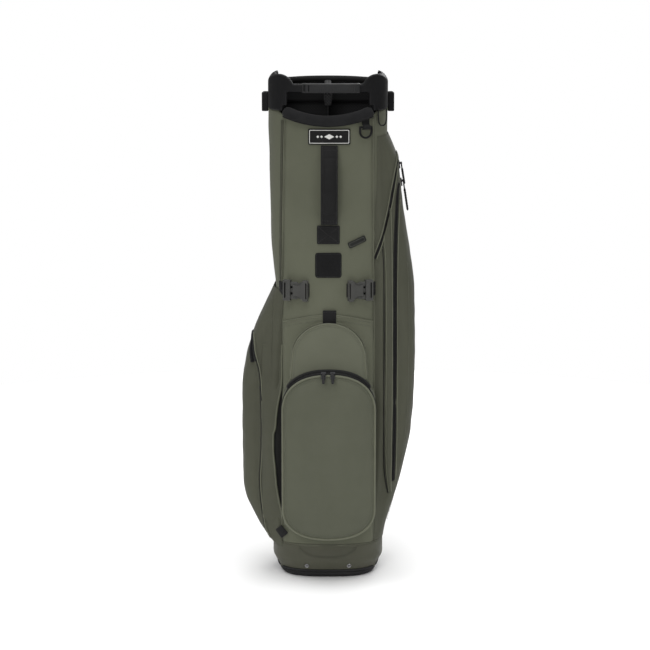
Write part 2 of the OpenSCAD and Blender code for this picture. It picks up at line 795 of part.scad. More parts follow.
module leg_foot() {
    translate([0, 0, -leg_len]) {
        translate([0, 0, foot_r]) cylinder(h = foot_len - foot_r - seat, r1 = foot_r + 1, r2 = leg_r + 1);
        translate([0, 0, foot_r]) sphere(foot_r);
    }
}
module leg_knuckle_left() {
    color("black") leg_frame(-1) leg_knuckle();
}
module leg_tube_left() {
    color("gray") leg_frame(-1) leg_tube();
}
module leg_foot_left() {
    color("black") leg_frame(-1) leg_foot();
}
module leg_knuckle_right() {
    color("black") leg_frame(1) leg_knuckle();
}
module leg_tube_right() {
    color("gray") leg_frame(1) leg_tube();
}
module leg_foot_right() {
    color("black") leg_frame(1) leg_foot();
}
// A rod leans from its lower pin, near the middle, out to its leg's lever
rod_top = [
    leg_at[0] + rod_off * cos(splay) + rod_pin_y * sin(splay),
    leg_at[1] - rod_off * sin(splay) + rod_pin_y * cos(splay),
    leg_z - lever * sin(leg_swing / 2)
];
rod_foot = [rod_x, rod_y, rod_z];
eye_r = 4.5;
eye_play = 0.6;                 // the opened pivots' clearance
module pull_rod() {
    line = rod_top - rod_foot;
    length = norm(line);
    lean = acos(line[2] / length);
    turn = atan2(line[1], line[0]);
    hole = rod_pin_r + eye_play;
    translate(rod_foot) rotate([0, lean, turn]) translate([0, 0, eye_r - 1])
        cylinder(h = length - 2 * (eye_r - 1), r = rod_r);
    translate(rod_foot) rod_eye(hole);
    translate(rod_top) rotate([0, 0, -splay]) rod_eye(hole);
}
module rod_eye(hole) {
    rotate([0, 90, 0]) difference() {
        cylinder(h = 4, r = eye_r, center = true);
        cylinder(h = 6, r = hole, center = true);
    }
}
module pull_rod_left() {
    color("silver") mirror([1, 0, 0]) pull_rod();
}
module pull_rod_right() {
    color("silver") pull_rod();
}
// Clips that keep the rods near the tube
module rod_guides() {
    color("black") both_sides() for (share = [0.2, 0.8]) {
        mid = rod_foot + share * (rod_top - rod_foot);
        difference() {
            translate([mid[0] - 7, half_d * 0.6, mid[2] - 7]) cube([14, mid[1] + 7 - half_d * 0.6, 14]);
            filled(seat, 0, bag_h);
            translate([mid[0], mid[1], mid[2] - 20]) cylinder(h = 40, r = rod_r + 1.4);
        }
    }
}

// ---- Carrying gear on the back ----
hip_z1 = 330;
hip_z2 = 520;
hip_t = 16;
pad_z1 = 562;
pad_z2 = leg_z - 10;
pad_gap = 3;
module through_back() {
    mirror([0, 1, 0]) through_front() children();
}
module back_patch(o1, o2, z1, z2) {
    intersection() {
        band(o1, o2, z1, z2);
        through_back() children();
    }
}
module hip_pad() {
    color("dimgray") back_patch(gap, hip_t, hip_z1, hip_z2) translate([0, (hip_z1 + hip_z2) / 2])
        round_rect(60, hip_z2 - hip_z1, 20);
}
module shoulder_straps() {
    color("dimgray") back_patch(gap, pad_t, pad_z1, pad_z2) both_sides()
        translate([pad_gap / 2 + pad_w / 2, (pad_z1 + pad_z2) / 2]) round_rect(pad_w, pad_z2 - pad_z1, 16);
}
strap_x = pad_gap / 2 + pad_w / 2;
low_x = 46;                     // middle of the lower webbings
module strap_webbing() {
    w = 20;
    color("black") {
        back_patch(cuff_out + seat, cuff_out + 2, pad_z2 - 18, cuff_z + 24) both_sides()
            translate([strap_x - w / 2, pad_z2 + seat]) square([w, far]);
        back_patch(seat, 1.6, hip_z1 - 40, pad_z1 + 10) both_sides() {
            polygon([
                [strap_x - w / 2, pad_z1 - seat], [strap_x + w / 2, pad_z1 - seat],
                [low_x + w / 2, hip_z2 - 20], [low_x + w / 2, hip_z1 - 38],
                [low_x - w / 2, hip_z1 - 38], [low_x - w / 2, hip_z2 - 20]
            ]);
        }
    }
}
module strap_adjusters() {
    color("black") back_patch(1.7, 5.5, hip_z1, hip_z2) both_sides()
        translate([low_x, hip_z1 + 60]) difference() {
            square([26, 22], center = true);
            translate([0, 4]) square([21, 3], center = true);
            translate([0, -4]) square([21, 3], center = true);
        }
}

sole_plate();
sole_hinge_pin();
boot();
boot_screws();
bag_tube();
divider_panels();
divider_bars();
stays();
cuff_ring();
cuff_grip();
cuff_roll();
cuff_lining();
name_plate();
carry_strap();
carry_strap_patch();
glove_patch();
side_tag();
ring_tab();
towel_ring();
side_lugs();
front_panel();
panel_tab();
hood_pouch();
ball_pocket();
ball_zip();
long_pocket();
long_zip();
short_pocket();
short_zip();
bottle_sleeve();
sleeve_tab();
zip_sliders();
ball_pull_left();
ball_pull_right();
long_pull_upper();
long_pull_lower();
short_pull();
buckle_webs();
buckle_sockets();
buckle_tongues();
left_prong_upper();
left_prong_lower();
right_prong_upper();
right_prong_lower();
towel_loop();
leg_brackets();
leg_pins();
leg_knuckle_left();
leg_tube_left();
leg_foot_left();
leg_knuckle_right();
leg_tube_right();
leg_foot_right();
pull_rod_left();
pull_rod_right();
rod_guides();
hip_pad();
shoulder_straps();
strap_webbing();
strap_adjusters();
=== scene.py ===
"""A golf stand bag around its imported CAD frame: sewn shell, padded pockets, moulded cuff and boot."""
import json
import math

import bpy
import numpy as np
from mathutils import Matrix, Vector, noise


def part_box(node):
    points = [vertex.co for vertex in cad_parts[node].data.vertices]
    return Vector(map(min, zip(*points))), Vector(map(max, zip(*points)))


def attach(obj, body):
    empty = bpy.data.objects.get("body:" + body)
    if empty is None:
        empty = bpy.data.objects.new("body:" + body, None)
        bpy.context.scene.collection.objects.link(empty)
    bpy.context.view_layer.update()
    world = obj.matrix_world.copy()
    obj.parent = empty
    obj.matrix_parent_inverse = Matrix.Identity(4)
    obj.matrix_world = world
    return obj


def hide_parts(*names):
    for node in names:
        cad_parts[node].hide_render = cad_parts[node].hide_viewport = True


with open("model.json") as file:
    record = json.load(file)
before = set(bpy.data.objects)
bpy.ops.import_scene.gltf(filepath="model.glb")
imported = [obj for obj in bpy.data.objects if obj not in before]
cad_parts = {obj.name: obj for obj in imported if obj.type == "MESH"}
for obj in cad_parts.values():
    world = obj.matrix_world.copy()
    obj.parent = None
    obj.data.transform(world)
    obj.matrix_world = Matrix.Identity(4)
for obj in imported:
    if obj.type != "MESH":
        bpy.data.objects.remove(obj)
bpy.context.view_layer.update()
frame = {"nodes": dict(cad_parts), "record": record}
MM = 0.001
BAG = "bag"
WELD = 0.02 * MM
SUBDIVIDED = ("SUBSURF", {"levels": 1, "render_levels": 1})

# ---------------------------------------------------------------- camera, floor and light
CAMERA_PLACE = (-0.0052, -3.9, 1.19)
CAMERA_PITCH = 10.87
CAMERA_LENS = 124.06
AMBIENT = 0.22                  # the world as a light; the camera itself sees it white
FLOOR_R = 1700.0
FLOOR_SIDES = 96
SUN_POWER = 3.2
SUN_SPREAD = 75                 # degrees across
SUN_TILT = 8


def make_camera():
    data = bpy.data.cameras.new("camera")
    data.lens = CAMERA_LENS
    data.sensor_width = 36.0
    data.clip_end = 60.0
    cam = bpy.data.objects.new("camera", data)
    cam.location = CAMERA_PLACE
    cam.rotation_euler = (math.radians(90 - CAMERA_PITCH), 0, 0)
    bpy.context.scene.collection.objects.link(cam)
    bpy.context.scene.camera = cam


def area_light(name, place, aim, size, power):
    data = bpy.data.lights.new(name, "AREA")
    data.shape = "RECTANGLE"
    data.size, data.size_y = size
    data.energy = power
    lamp = bpy.data.objects.new(name, data)
    lamp.location = place
    lamp.rotation_euler = (Vector(aim) - Vector(place)).to_track_quat("-Z", "Y").to_euler()
    bpy.context.scene.collection.objects.link(lamp)


def make_studio():
    world = bpy.data.worlds.new("studio")
    world.use_nodes = True
    tree = world.node_tree
    backdrop = tree.nodes["Background"]
    backdrop.inputs["Color"].default_value = (1, 1, 1, 1)
    backdrop.inputs["Strength"].default_value = 1.0
    ambient = tree.nodes.new("ShaderNodeBackground")
    ambient.inputs["Color"].default_value = (1, 1, 1, 1)
    ambient.inputs["Strength"].default_value = AMBIENT
    mix = tree.nodes.new("ShaderNodeMixShader")
    tree.links.new(tree.nodes.new("ShaderNodeLightPath").outputs["Is Camera Ray"], mix.inputs[0])
    tree.links.new(ambient.outputs[0], mix.inputs[1])
    tree.links.new(backdrop.outputs[0], mix.inputs[2])
    tree.links.new(mix.outputs[0], tree.nodes["World Output"].inputs["Surface"])
    bpy.context.scene.world = world
    bpy.context.scene.view_settings.view_transform = "Standard"
    area_light("key", (-0.9, -3.7, 1.7), (0, 0, 0.5), (1.4, 1.4), 44)
    area_light("fill", (1.6, -3.0, 0.8), (0, 0, 0.45), (1.2, 1.2), 4)
    area_light("behind", (1.2, 3.4, 1.7), (0, 0, 0.5), (1.6, 1.6), 34)
    sky = bpy.data.lights.new("sky", "SUN")
    sky.energy = SUN_POWER
    sky.angle = math.radians(SUN_SPREAD)
    lamp = bpy.data.objects.new("sky", sky)
    lamp.rotation_euler = (math.radians(SUN_TILT), 0, 0)
    bpy.context.scene.collection.objects.link(lamp)
    rim = [(FLOOR_R * math.cos(a), FLOOR_R * math.sin(a), 0) for a in round_turn(FLOOR_SIDES)]
    floor = mesh_object("floor", rim, [tuple(range(FLOOR_SIDES))])
    floor.data.materials.append(plain_floor())


# ---------------------------------------------------------------- mesh helpers
def mesh_object(name, verts, faces):
    mesh = bpy.data.meshes.new(name)
    mesh.from_pydata([tuple(np.asarray(v) * MM) for v in verts], [], faces)
    mesh.validate()
    mesh.shade_smooth()
    obj = bpy.data.objects.new(name, mesh)
    bpy.context.scene.collection.objects.link(obj)
    return obj


def grid_faces(rows, cols, wrap=False, first=0):
    """Quads between rows of points; wrap joins the last column to the first."""
    faces = []
    for r in range(rows - 1):
        for c in range(cols if wrap else cols - 1):
            d = (c + 1) % cols
            faces.append((first + r * cols + c, first + r * cols + d,
                          first + (r + 1) * cols + d, first + (r + 1) * cols + c))
    return faces


def capped_faces(rows, sides):
    """Faces of a closed tube: quads between its rings, and one over each end."""
    last = (rows - 1) * sides
    return grid_faces(rows, sides, True) + [tuple(range(sides))[::-1], tuple(range(last, last + sides))]


def round_turn(count):
    """Angles evenly spaced round a full turn."""
    return np.linspace(0, 2 * math.pi, count, endpoint=False)


def unit(v):
    """Vectors of length 1, along the last axis of v."""
    return v / (np.linalg.norm(v, axis=-1)[..., None] + 1e-12)


def heading(path):
    """Unit direction along a path, at each of its points."""
    return unit(np.gradient(np.asarray(path, float), axis=0))


def closed(loop):
    """The loop with its first point again at its end."""
    return np.vstack([loop, loop[:1]])


def upright(loop, y=0.0):
    """Points in space from a loop in x and z, standing at depth y."""
    loop = np.asarray(loop, float)
    return np.stack([loop[:, 0], np.broadcast_to(y, len(loop)), loop[:, 1]], axis=1)


def grid_normals(p):
    """Unit normals of a grid of points."""
    return unit(np.cross(np.gradient(p, axis=1), np.gradient(p, axis=0)))


def grid_object(name, points, wrap=False):
    points = np.asarray(points, float)
    rows, cols = points.shape[:2]
    return mesh_object(name, points.reshape(-1, 3), grid_faces(rows, cols, wrap))


def finish_mesh(obj, *modifiers):
    """Adds modifiers, given as (type, settings), and applies them."""
    for kind, settings in modifiers:
        m = obj.modifiers.new(kind.lower(), kind)
        for key, value in settings.items():
            setattr(m, key, value)
    bpy.context.view_layer.update()
    mesh = bpy.data.meshes.new_from_object(obj.evaluated_get(bpy.context.evaluated_depsgraph_get()))
    old = obj.data
    obj.modifiers.clear()
    obj.data = mesh
    bpy.data.meshes.remove(old)
    obj.data.shade_smooth()
    return obj


def frames_along(path):
    """A path, with a steady sideways and upward direction at each point."""
    path = np.asarray(path, float)
    along = heading(path)
    side = np.cross(along[0], (0, 0, 1) if abs(along[0][2]) < 0.9 else (0, 1, 0))
    sides = []
    for a in along:
        side = unit(side - a * np.dot(side, a))
        sides.append(side)
    return path, np.array(sides), np.cross(sides, along)


def rod_parts(path, radius, sides=8, flat=1.0):
    """Vertices and faces of a closed tube along a path; flat squashes its second direction."""
    path, side, up = frames_along(path)
    ring = [side * math.cos(a) * radius + up * math.sin(a) * radius * flat for a in round_turn(sides)]
    return (path[:, None, :] + np.stack(ring, axis=1)).reshape(-1, 3), capped_faces(len(path), sides)


def merged(name, parts):
    """One object from several (vertices, faces)."""
    verts, faces = [], []
    for v, f in parts:
        first = len(verts)
        verts.extend(v)
        faces.extend(tuple(i + first for i in face) for face in f)
    return mesh_object(name, verts, faces)


def ribbon_parts(path, normals, width, thick, crown=0.0):
    """A flat tape along a path: width across, thick along the normals, with rounded edges."""
    path = np.asarray(path, float)
    along = heading(path)
    across = unit(np.cross(along, normals))
    up = np.cross(across, along)
    w, t = width / 2, thick / 2
    e = thick * 0.35
    section = [(-w + e, t), (0, t + crown), (w - e, t), (w, t - e), (w, -t + e), (w - e, -t), (-w + e, -t),
               (-w, -t + e), (-w, t - e)]
    rings = np.stack([path + across * a + up * b for a, b in section], axis=1)
    return rings.reshape(-1, 3), capped_faces(len(path), len(section))


def resample(path, count):
    """The path with points evenly spaced along its length."""
    path = np.asarray(path, float)
    steps = np.linalg.norm(np.diff(path, axis=0), axis=1)
    run = np.concatenate([[0], np.cumsum(steps)])
    at = np.linspace(0, run[-1], count)
    return np.stack([np.interp(at, run, path[:, k]) for k in range(3)], axis=1)


def path_length(path):
    return float(np.linalg.norm(np.diff(np.asarray(path), axis=0), axis=1).sum())


def smooth_curve(points, count=60):
    """A Catmull-Rom curve through the points, evenly resampled."""
    p = np.asarray(points, float)
    p = np.vstack([2 * p[0] - p[1], p, 2 * p[-1] - p[-2]])
    out = []
    for i in range(1, len(p) - 2):
        for t in np.linspace(0, 1, 16, endpoint=False):
            out.append(0.5 * (2 * p[i] + (p[i + 1] - p[i - 1]) * t
                              + (2 * p[i - 1] - 5 * p[i] + 4 * p[i + 1] - p[i + 2]) * t * t
                              + (3 * p[i] - p[i - 1] - 3 * p[i + 1] + p[i + 2]) * t ** 3))
    out.append(p[-2])
    return resample(out, count)


def spline(knots, at):
    """Value at heights between (height, value) knots, on a smooth curve."""
    knots = np.asarray(knots, float)
    h, v = knots[:, 0], knots[:, 1]
    slope = np.diff(v) / np.diff(h)
    m = np.zeros(len(h))
    m[0], m[-1] = slope[0], slope[-1]
    for i in range(1, len(h) - 1):
        if slope[i - 1] * slope[i] > 0:
            m[i] = 2 / (1 / slope[i - 1] + 1 / slope[i])
    at = np.clip(np.asarray(at, float), h[0], h[-1])
    i = np.clip(np.searchsorted(h, at) - 1, 0, len(h) - 2)
    d = h[i + 1] - h[i]
    t = (at - h[i]) / d
    return ((2 * t ** 3 - 3 * t ** 2 + 1) * v[i] + (t ** 3 - 2 * t ** 2 + t) * d * m[i]
            + (3 * t ** 2 - 2 * t ** 3) * v[i + 1] + (t ** 3 - t ** 2) * d * m[i + 1])


STITCH_PITCH = 3.6
STITCH_LENGTH = 2.5
STITCH_RADIUS = 0.42
STITCH_SIDES = 5
# One stitch's rings: place along it, share of its radius, and rise
STITCH_RINGS = ((-0.5, 0.3, -0.8), (-0.25, 1, 0.1), (0.25, 1, 0.1), (0.5, 0.3, -0.8))


def stitches(path, normals, lift=0.15):
    """Vertices and faces of a row of raised thread stitches along a path."""
    at = resample(path, max(2, int(path_length(path) / STITCH_PITCH)))
    verts, faces = [], []
    for p, a, up in zip(at, heading(at), unit(normals_at(path, normals, at))):
        side = np.cross(a, up)
        faces.extend(grid_faces(len(STITCH_RINGS), STITCH_SIDES, True, len(verts)))
        for share, fat, rise in STITCH_RINGS:
            c = p + a * share * STITCH_LENGTH + up * (lift + rise * STITCH_RADIUS)
            for w in round_turn(STITCH_SIDES):
                verts.append(c + (side * math.cos(w) + up * math.sin(w)) * STITCH_RADIUS * fat)
    return verts, faces


def normals_at(path, normals, at):
    """The normal of the nearest path point, for each point of at."""
    path, normals = np.asarray(path, float), np.asarray(normals, float)
    near = np.argmin(((at[:, None, :] - path[None, :, :]) ** 2).sum(axis=2), axis=1)
    return normals[near]


def wander(p, scale, amount, seed=0.0):
    """Smooth repeatable noise for soft cloth."""
    return amount * noise.noise(Vector((p[0] * scale + seed, p[1] * scale - seed, p[2] * scale + 2 * seed)))


def waves(points, *terms):
    """Cloth noise at each point, summed over terms of (scale, amount, seed)."""
    points = np.asarray(points, float)
    out = [sum(wander(p, *term) for term in terms) for p in points.reshape(-1, 3)]
    return np.array(out).reshape(points.shape[:-1])


# ---------------------------------------------------------------- materials
def linear(rgb):
    return tuple((c / 255 / 12.92) if c / 255 <= 0.04045 else ((c / 255 + 0.055) / 1.055) ** 2.4
                 for c in rgb)


class Shader:
    """A principled material with helpers for layered colour, roughness and bump."""

    def __init__(self, name, rgb, rough, metallic=0.0, sheen=0.0, gloss=0.25):
        self.material = bpy.data.materials.new(name)
        self.material.use_nodes = True
        self.tree = self.material.node_tree
        self.out = self.tree.nodes["Principled BSDF"]
        self.out.inputs["Metallic"].default_value = metallic
        self.out.inputs["Sheen Weight"].default_value = sheen
        self.out.inputs["Sheen Roughness"].default_value = 0.5
        self.out.inputs["Specular IOR Level"].default_value = gloss
        self.out.inputs["Roughness"].default_value = rough
        self.rough = rough
        self.where = self.node("ShaderNodeTexCoord").outputs["Object"]
        self.rgb = rgb
        self.colour = None
        self.height = None

    def node(self, kind, **settings):
        n = self.tree.nodes.new(kind)
        for key, value in settings.items():
            setattr(n, key, value)
        return n

    def link(self, a, b):
        self.tree.links.new(a, b)

    def math(self, kind, a, b=None, clamp=False):
        n = self.node("ShaderNodeMath", operation=kind, use_clamp=clamp)
        for i, v in enumerate((a, b)):
            if v is None:
                continue
            if isinstance(v, (int, float)):
                n.inputs[i].default_value = v
            else:
                self.link(v, n.inputs[i])
        return n.outputs[0]

    def noise(self, scale, detail=3.0, stretch=(1, 1, 1)):
        m = self.node("ShaderNodeMapping")
        m.inputs["Scale"].default_value = stretch
        self.link(self.where, m.inputs["Vector"])
        n = self.node("ShaderNodeTexNoise")
        n.inputs["Scale"].default_value = scale
        n.inputs["Detail"].default_value = detail
        self.link(m.outputs[0], n.inputs["Vector"])
        return n.outputs[0]

    def wave(self, direction, pitch):
        """Sine ridges across a direction, pitch metres apart, from 0 to 1."""
        d = self.node("ShaderNodeVectorMath", operation="DOT_PRODUCT")
        self.link(self.where, d.inputs[0])
        d.inputs[1].default_value = tuple(2 * math.pi / pitch * c for c in direction)
        return self.math("ADD", self.math("MULTIPLY", self.math("SINE", d.outputs["Value"]), 0.5), 0.5)

    def tint(self, mask, rgb, amount):
        """Mixes a colour in where the mask is high."""
        self.mix_in(mask, rgb, amount, 0.35, 0.7)

    def mix_in(self, mask, rgb, amount, low, high):
        ramp = self.node("ShaderNodeMapRange")
        ramp.inputs["From Min"].default_value = low
        ramp.inputs["From Max"].default_value = high
        ramp.inputs["To Max"].default_value = amount
        self.link(mask, ramp.inputs["Value"])
        mix = self.node("ShaderNodeMix", data_type="RGBA")
        self.link(ramp.outputs[0], mix.inputs["Factor"])
        a, b = [i for i in mix.inputs if i.type == "RGBA"]
        if self.colour is None:
            a.default_value = (*self.rgb, 1)
        else:
            self.link(self.colour, a)
        b.default_value = (*rgb, 1)
        self.colour = [o for o in mix.outputs if o.type == "RGBA"][0]

    def add_height(self, source, amount):
        """Adds a source from 0 to 1, scaled to metres, to the bump height."""
        h = self.math("MULTIPLY", source, amount)
        self.height = h if self.height is None else self.math("ADD", self.height, h)

    def edge_wear(self, rgb, amount):
        """Lightens convex edges, as handling does."""
        g = self.node("ShaderNodeNewGeometry")
        self.mix_in(g.outputs["Pointiness"], rgb, amount, 0.52, 0.62)

    def vary_rough(self, source, spread):
        n = self.node("ShaderNodeMapRange")
        n.inputs["From Min"].default_value = 0.3
        n.inputs["From Max"].default_value = 0.7
        n.inputs["To Min"].default_value = max(0.05, self.rough - spread)
        n.inputs["To Max"].default_value = min(1.0, self.rough + spread)
        self.link(source, n.inputs["Value"])
        self.link(n.outputs[0], self.out.inputs["Roughness"])

    def done(self, strength=1.0):
        if self.colour is None:
            self.out.inputs["Base Color"].default_value = (*self.rgb, 1)
        else:
            self.link(self.colour, self.out.inputs["Base Color"])
        if self.height is not None:
            b = self.node("ShaderNodeBump")
            b.inputs["Strength"].default_value = strength
            b.inputs["Distance"].default_value = 1.0
            self.link(self.height, b.inputs["Height"])
            self.link(b.outputs[0], self.out.inputs["Normal"])
        return self.material


OLIVE = linear((91, 93, 78))
OLIVE_DARK = linear((78, 79, 66))
BLACK = linear((23, 23, 24))
DIAGONALS = ((0.577, 0.577, 0.577), (0.577, 0.577, -0.577), (0.577, -0.577, 0.577), (-0.577, 0.577, 0.577))


def shell_cloth(name="olive_cloth", rgb=OLIVE):
    s = Shader(name, rgb, 0.78, sheen=0.04)
    s.tint(s.noise(5.0, 4.0), tuple(c * 0.62 for c in rgb), 0.3)
    s.tint(s.noise(11.0, 3.0, (1, 1, 0.4)), tuple(c * 1.32 for c in rgb), 0.25)
    s.vary_rough(s.noise(40.0), 0.06)
    for d in DIAGONALS[:2]:
        s.add_height(s.wave(d, 1.1 * MM), 0.035 * MM)
    s.add_height(s.noise(900.0, 2.0), 0.05 * MM)
    s.add_height(s.noise(22.0, 2.0), 0.8 * MM)
    s.add_height(s.noise(60.0, 2.0, (1, 1, 0.35)), 0.25 * MM)
    return s.done(0.8)


def piping_cloth():
    s = Shader("olive_piping", linear((94, 96, 80)), 0.6, sheen=0.1)
    s.tint(s.noise(60.0), OLIVE_DARK, 0.3)
    s.add_height(s.wave(DIAGONALS[0], 1.4 * MM), 0.06 * MM)
    return s.done()


def webbing(name="black_webbing"):
    s = Shader(name, linear((19, 19, 19)), 0.75, sheen=0.04, gloss=0.15)
    s.tint(s.wave((0, 0, 1), 2.0 * MM), linear((30, 30, 30)), 0.8)
    s.tint(s.noise(70.0), linear((37, 37, 37)), 0.25)
    s.add_height(s.wave((0, 0, 1), 2.0 * MM), 0.14 * MM)
    s.add_height(s.wave((0.7, 0.7, 0), 1.4 * MM), 0.1 * MM)
    return s.done()


def air_mesh(name="air_mesh", rgb=(26, 26, 28), light=(52, 52, 55)):
    """Padded spacer mesh with open cells."""
    s = Shader(name, linear(rgb), 0.85, sheen=0.05, gloss=0.15)
    cells = s.node("ShaderNodeTexVoronoi")
    cells.inputs["Scale"].default_value = 420.0
    cells.inputs["Randomness"].default_value = 0.15
    s.link(s.where, cells.inputs["Vector"])
    s.tint(cells.outputs["Distance"], linear(light), 0.7)
    s.add_height(cells.outputs["Distance"], 0.5 * MM)
    s.add_height(s.noise(30.0), 0.4 * MM)
    return s.done()


def dotted_lining():
    """Dark lining with small woven dots."""
    s = Shader("dotted_lining", linear((19, 19, 20)), 0.8, sheen=0.05, gloss=0.15)
    dots = s.math("MULTIPLY", s.math("MULTIPLY", s.wave((1, 0, 1), 5 * MM), s.wave((1, 0, -1), 5 * MM)),
                  s.math("ADD", s.wave((0, 1, 0), 5 * MM), 0.6))
    s.tint(dots, linear((60, 60, 60)), 0.8)
    s.add_height(dots, 0.2 * MM)
    return s.done()


def foam_cloth():
    """Smooth stretch cover over foam, for the cuff's roll."""
    s = Shader("foam_cover", linear((25, 25, 26)), 0.82, sheen=0.06, gloss=0.15)
    s.tint(s.noise(50.0, 4.0), linear((38, 38, 39)), 0.4)
    s.add_height(s.noise(1400.0, 2.0), 0.08 * MM)
    s.add_height(s.noise(35.0), 0.5 * MM)
    return s.done()


def moulding(name="black_moulding", rgb=BLACK, rough=0.62):
    s = Shader(name, rgb, rough, gloss=0.12)
    s.tint(s.noise(25.0, 4.0), tuple(c * 1.5 for c in rgb), 0.35)
    s.edge_wear(tuple(min(1, c * 2.6 + 0.01) for c in rgb), 0.4)
    s.vary_rough(s.noise(60.0, 4.0), 0.09)
    s.add_height(s.noise(1600.0, 2.0), 0.012 * MM)
    return s.done(0.7)


def rubber(name="sole_rubber", rgb=linear((27, 27, 28))):
    s = Shader(name, rgb, 0.72)
    s.tint(s.noise(30.0, 5.0), tuple(c * 2.2 for c in rgb), 0.35)
    s.edge_wear(tuple(c * 3 for c in rgb), 0.4)
    s.add_height(s.noise(800.0, 3.0), 0.08 * MM)
    return s.done()


def grip_rubber():
    s = Shader("grip_rubber", linear((21, 21, 22)), 0.45, gloss=0.35)
    s.tint(s.noise(45.0), linear((32, 32, 34)), 0.3)
    s.add_height(s.wave((1, 0, 0), 3.2 * MM), 0.22 * MM)
    s.add_height(s.noise(1100.0), 0.05 * MM)
    return s.done()


def boot_moulding():
    s = Shader("boot_moulding", linear((74, 74, 62)), 0.55)
    s.tint(s.noise(14.0, 4.0), linear((62, 63, 52)), 0.4)
    s.edge_wear(linear((108, 108, 94)), 0.5)
    s.vary_rough(s.noise(70.0), 0.08)
    s.add_height(s.noise(1500.0, 2.0), 0.06 * MM)
    return s.done(0.7)


def leg_paint():
    s = Shader("leg_anodised", linear((52, 52, 54)), 0.36, metallic=0.85)
    s.tint(s.noise(40.0, 5.0, (1, 1, 0.1)), linear((70, 70, 72)), 0.4)
    s.vary_rough(s.noise(90.0, 4.0, (1, 1, 0.08)), 0.1)
    return s.done()


def bright_steel():
    s = Shader("zinc_steel", linear((168, 168, 170)), 0.34, metallic=1.0)
    s.tint(s.noise(120.0, 4.0), linear((120, 120, 122)), 0.4)
    s.vary_rough(s.noise(150.0, 4.0), 0.12)
    s.add_height(s.noise(900.0), 0.02 * MM)
    return s.done()


def thread(name, rgb):
    s = Shader(name, rgb, 0.6, sheen=0.2)
    s.tint(s.noise(700.0), tuple(c * 0.6 for c in rgb), 0.5)
    return s.done()


def zip_tape():
    s = Shader("zip_tape", linear((14, 14, 14)), 0.62, sheen=0.04)
    s.tint(s.wave((0, 0, 1), 1.6 * MM), linear((27, 27, 27)), 0.6)
    s.add_height(s.wave((0, 0, 1), 1.6 * MM), 0.1 * MM)
    s.add_height(s.noise(1200.0), 0.05 * MM)
    return s.done()


def plain_floor():
    s = Shader("pale_floor", (0.93, 0.93, 0.93), 0.9)
    s.tint(s.noise(0.7), (0.95, 0.95, 0.95), 0.5)
    return s.done()


# ---------------------------------------------------------------- places taken from the frame
def box_mm(node):
    low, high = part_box(node)
    return np.array(low) / MM, np.array(high) / MM


def face_of(node):
    """Middle and size of a node's box as seen from the front: x, z, width and height."""
    low, high = box_mm(node)
    return (low[0] + high[0]) / 2, (low[2] + high[2]) / 2, high[0] - low[0], high[2] - low[2]


def blunt(v, power):
    """v to a power, with its sign kept."""
    return np.sign(v) * np.abs(v) ** power


TUBE_LOW, TUBE_HIGH = box_mm("bag_tube")
HALF_W, HALF_D = TUBE_HIGH[0], TUBE_HIGH[1]
N_FRONT, N_BACK = 3.0, 2.3      # powers of the outline, a rounded square: front and back
BOOT_H = TUBE_LOW[2]
CUFF_Z = TUBE_HIGH[2]
ROLL_R = 182.0                  # of the arc that the padded roll follows
ROLL_LOW, ROLL_HIGH = box_mm("cuff_roll")
ROLL_T = 19.0
ROLL_Z = ROLL_LOW[2] + ROLL_T / 2 + ROLL_R

# How far the cloth stands out at the sides, by height: right, then left with its pinched waist
FLARE_RIGHT = ((64, 0), (300, 0), (480, 0), (594, 2), (664, 3.6), (750, 5), (828, 6))
FLARE_LEFT = ((64, 0), (300, 0), (455, -1), (515, -5.5), (548, -2), (594, 1.6), (664, 3.4), (750, 5),
              (828, 6))


def tube_point(t, z, o=0.0):
    """Points on the cloth tube: t in degrees, 270 at the middle of the front, o outwards."""
    t, z = np.broadcast_arrays(np.asarray(t, float), np.asarray(z, float))
    c, s = np.cos(np.radians(t)), np.sin(np.radians(t))
    n = np.where(s < 0, N_FRONT, N_BACK)
    x = (HALF_W + o) * blunt(c, 2 / n)
    y = (HALF_D + o) * blunt(s, 2 / n)
    grow = np.where(x > 0, spline(FLARE_RIGHT, z), spline(FLARE_LEFT, z))
    grow = grow * np.where(y < 0, 1.0, np.maximum(0.2, 1 - y / HALF_D))
    x = x + np.sign(x) * grow * (np.abs(x) / HALF_W) ** 2
    return np.stack([x, y, z + 0 * x], axis=-1)


def outline_level(p, power, out=0.0):
    """1 on the tube's outline grown by out, less inside it and more outside."""
    return (np.abs(p[:, 0]) / (HALF_W + out)) ** power + (np.abs(p[:, 1]) / (HALF_D + out)) ** power


def front_t(x, z, o=0.0):
    """The tube's parameter at x on the front."""
    x = np.asarray(x, float)
    t = 270 + np.sign(x) * 45
    want = np.abs(x)
    inner = want
    for _ in range(6):
        grow = np.where(x > 0, spline(FLARE_RIGHT, z), spline(FLARE_LEFT, z))
        inner = np.clip(want - grow * (inner / HALF_W) ** 2, 0, HALF_W + o - 0.01)
        t = 270 + np.sign(x) * np.degrees(np.arcsin((inner / (HALF_W + o)) ** (N_FRONT / 2)))
    return t


def front(x, z, o=0.0):
    return tube_point(front_t(x, z, o), z, o)


def outward(point_of, a, b, step=0.5):
    """Unit normals of a surface point_of(a, b), pointing away from the bag's axis."""
    du = point_of(a + step, b) - point_of(a - step, b)
    dv = point_of(a, b + step) - point_of(a, b - step)
    n = unit(np.cross(du, dv))
    away = point_of(a, b) * (1, 1, 0)
    flip = np.sign((n * away).sum(axis=-1))[..., None]
    return n * np.where(flip == 0, 1, flip)


def front_normal(x, z):
    return outward(front, np.asarray(x, float), np.asarray(z, float))


def level_normal(x, z):
    """The front's outward direction, kept level."""
    return unit(front_normal(x, z) * (1, 1, 0))


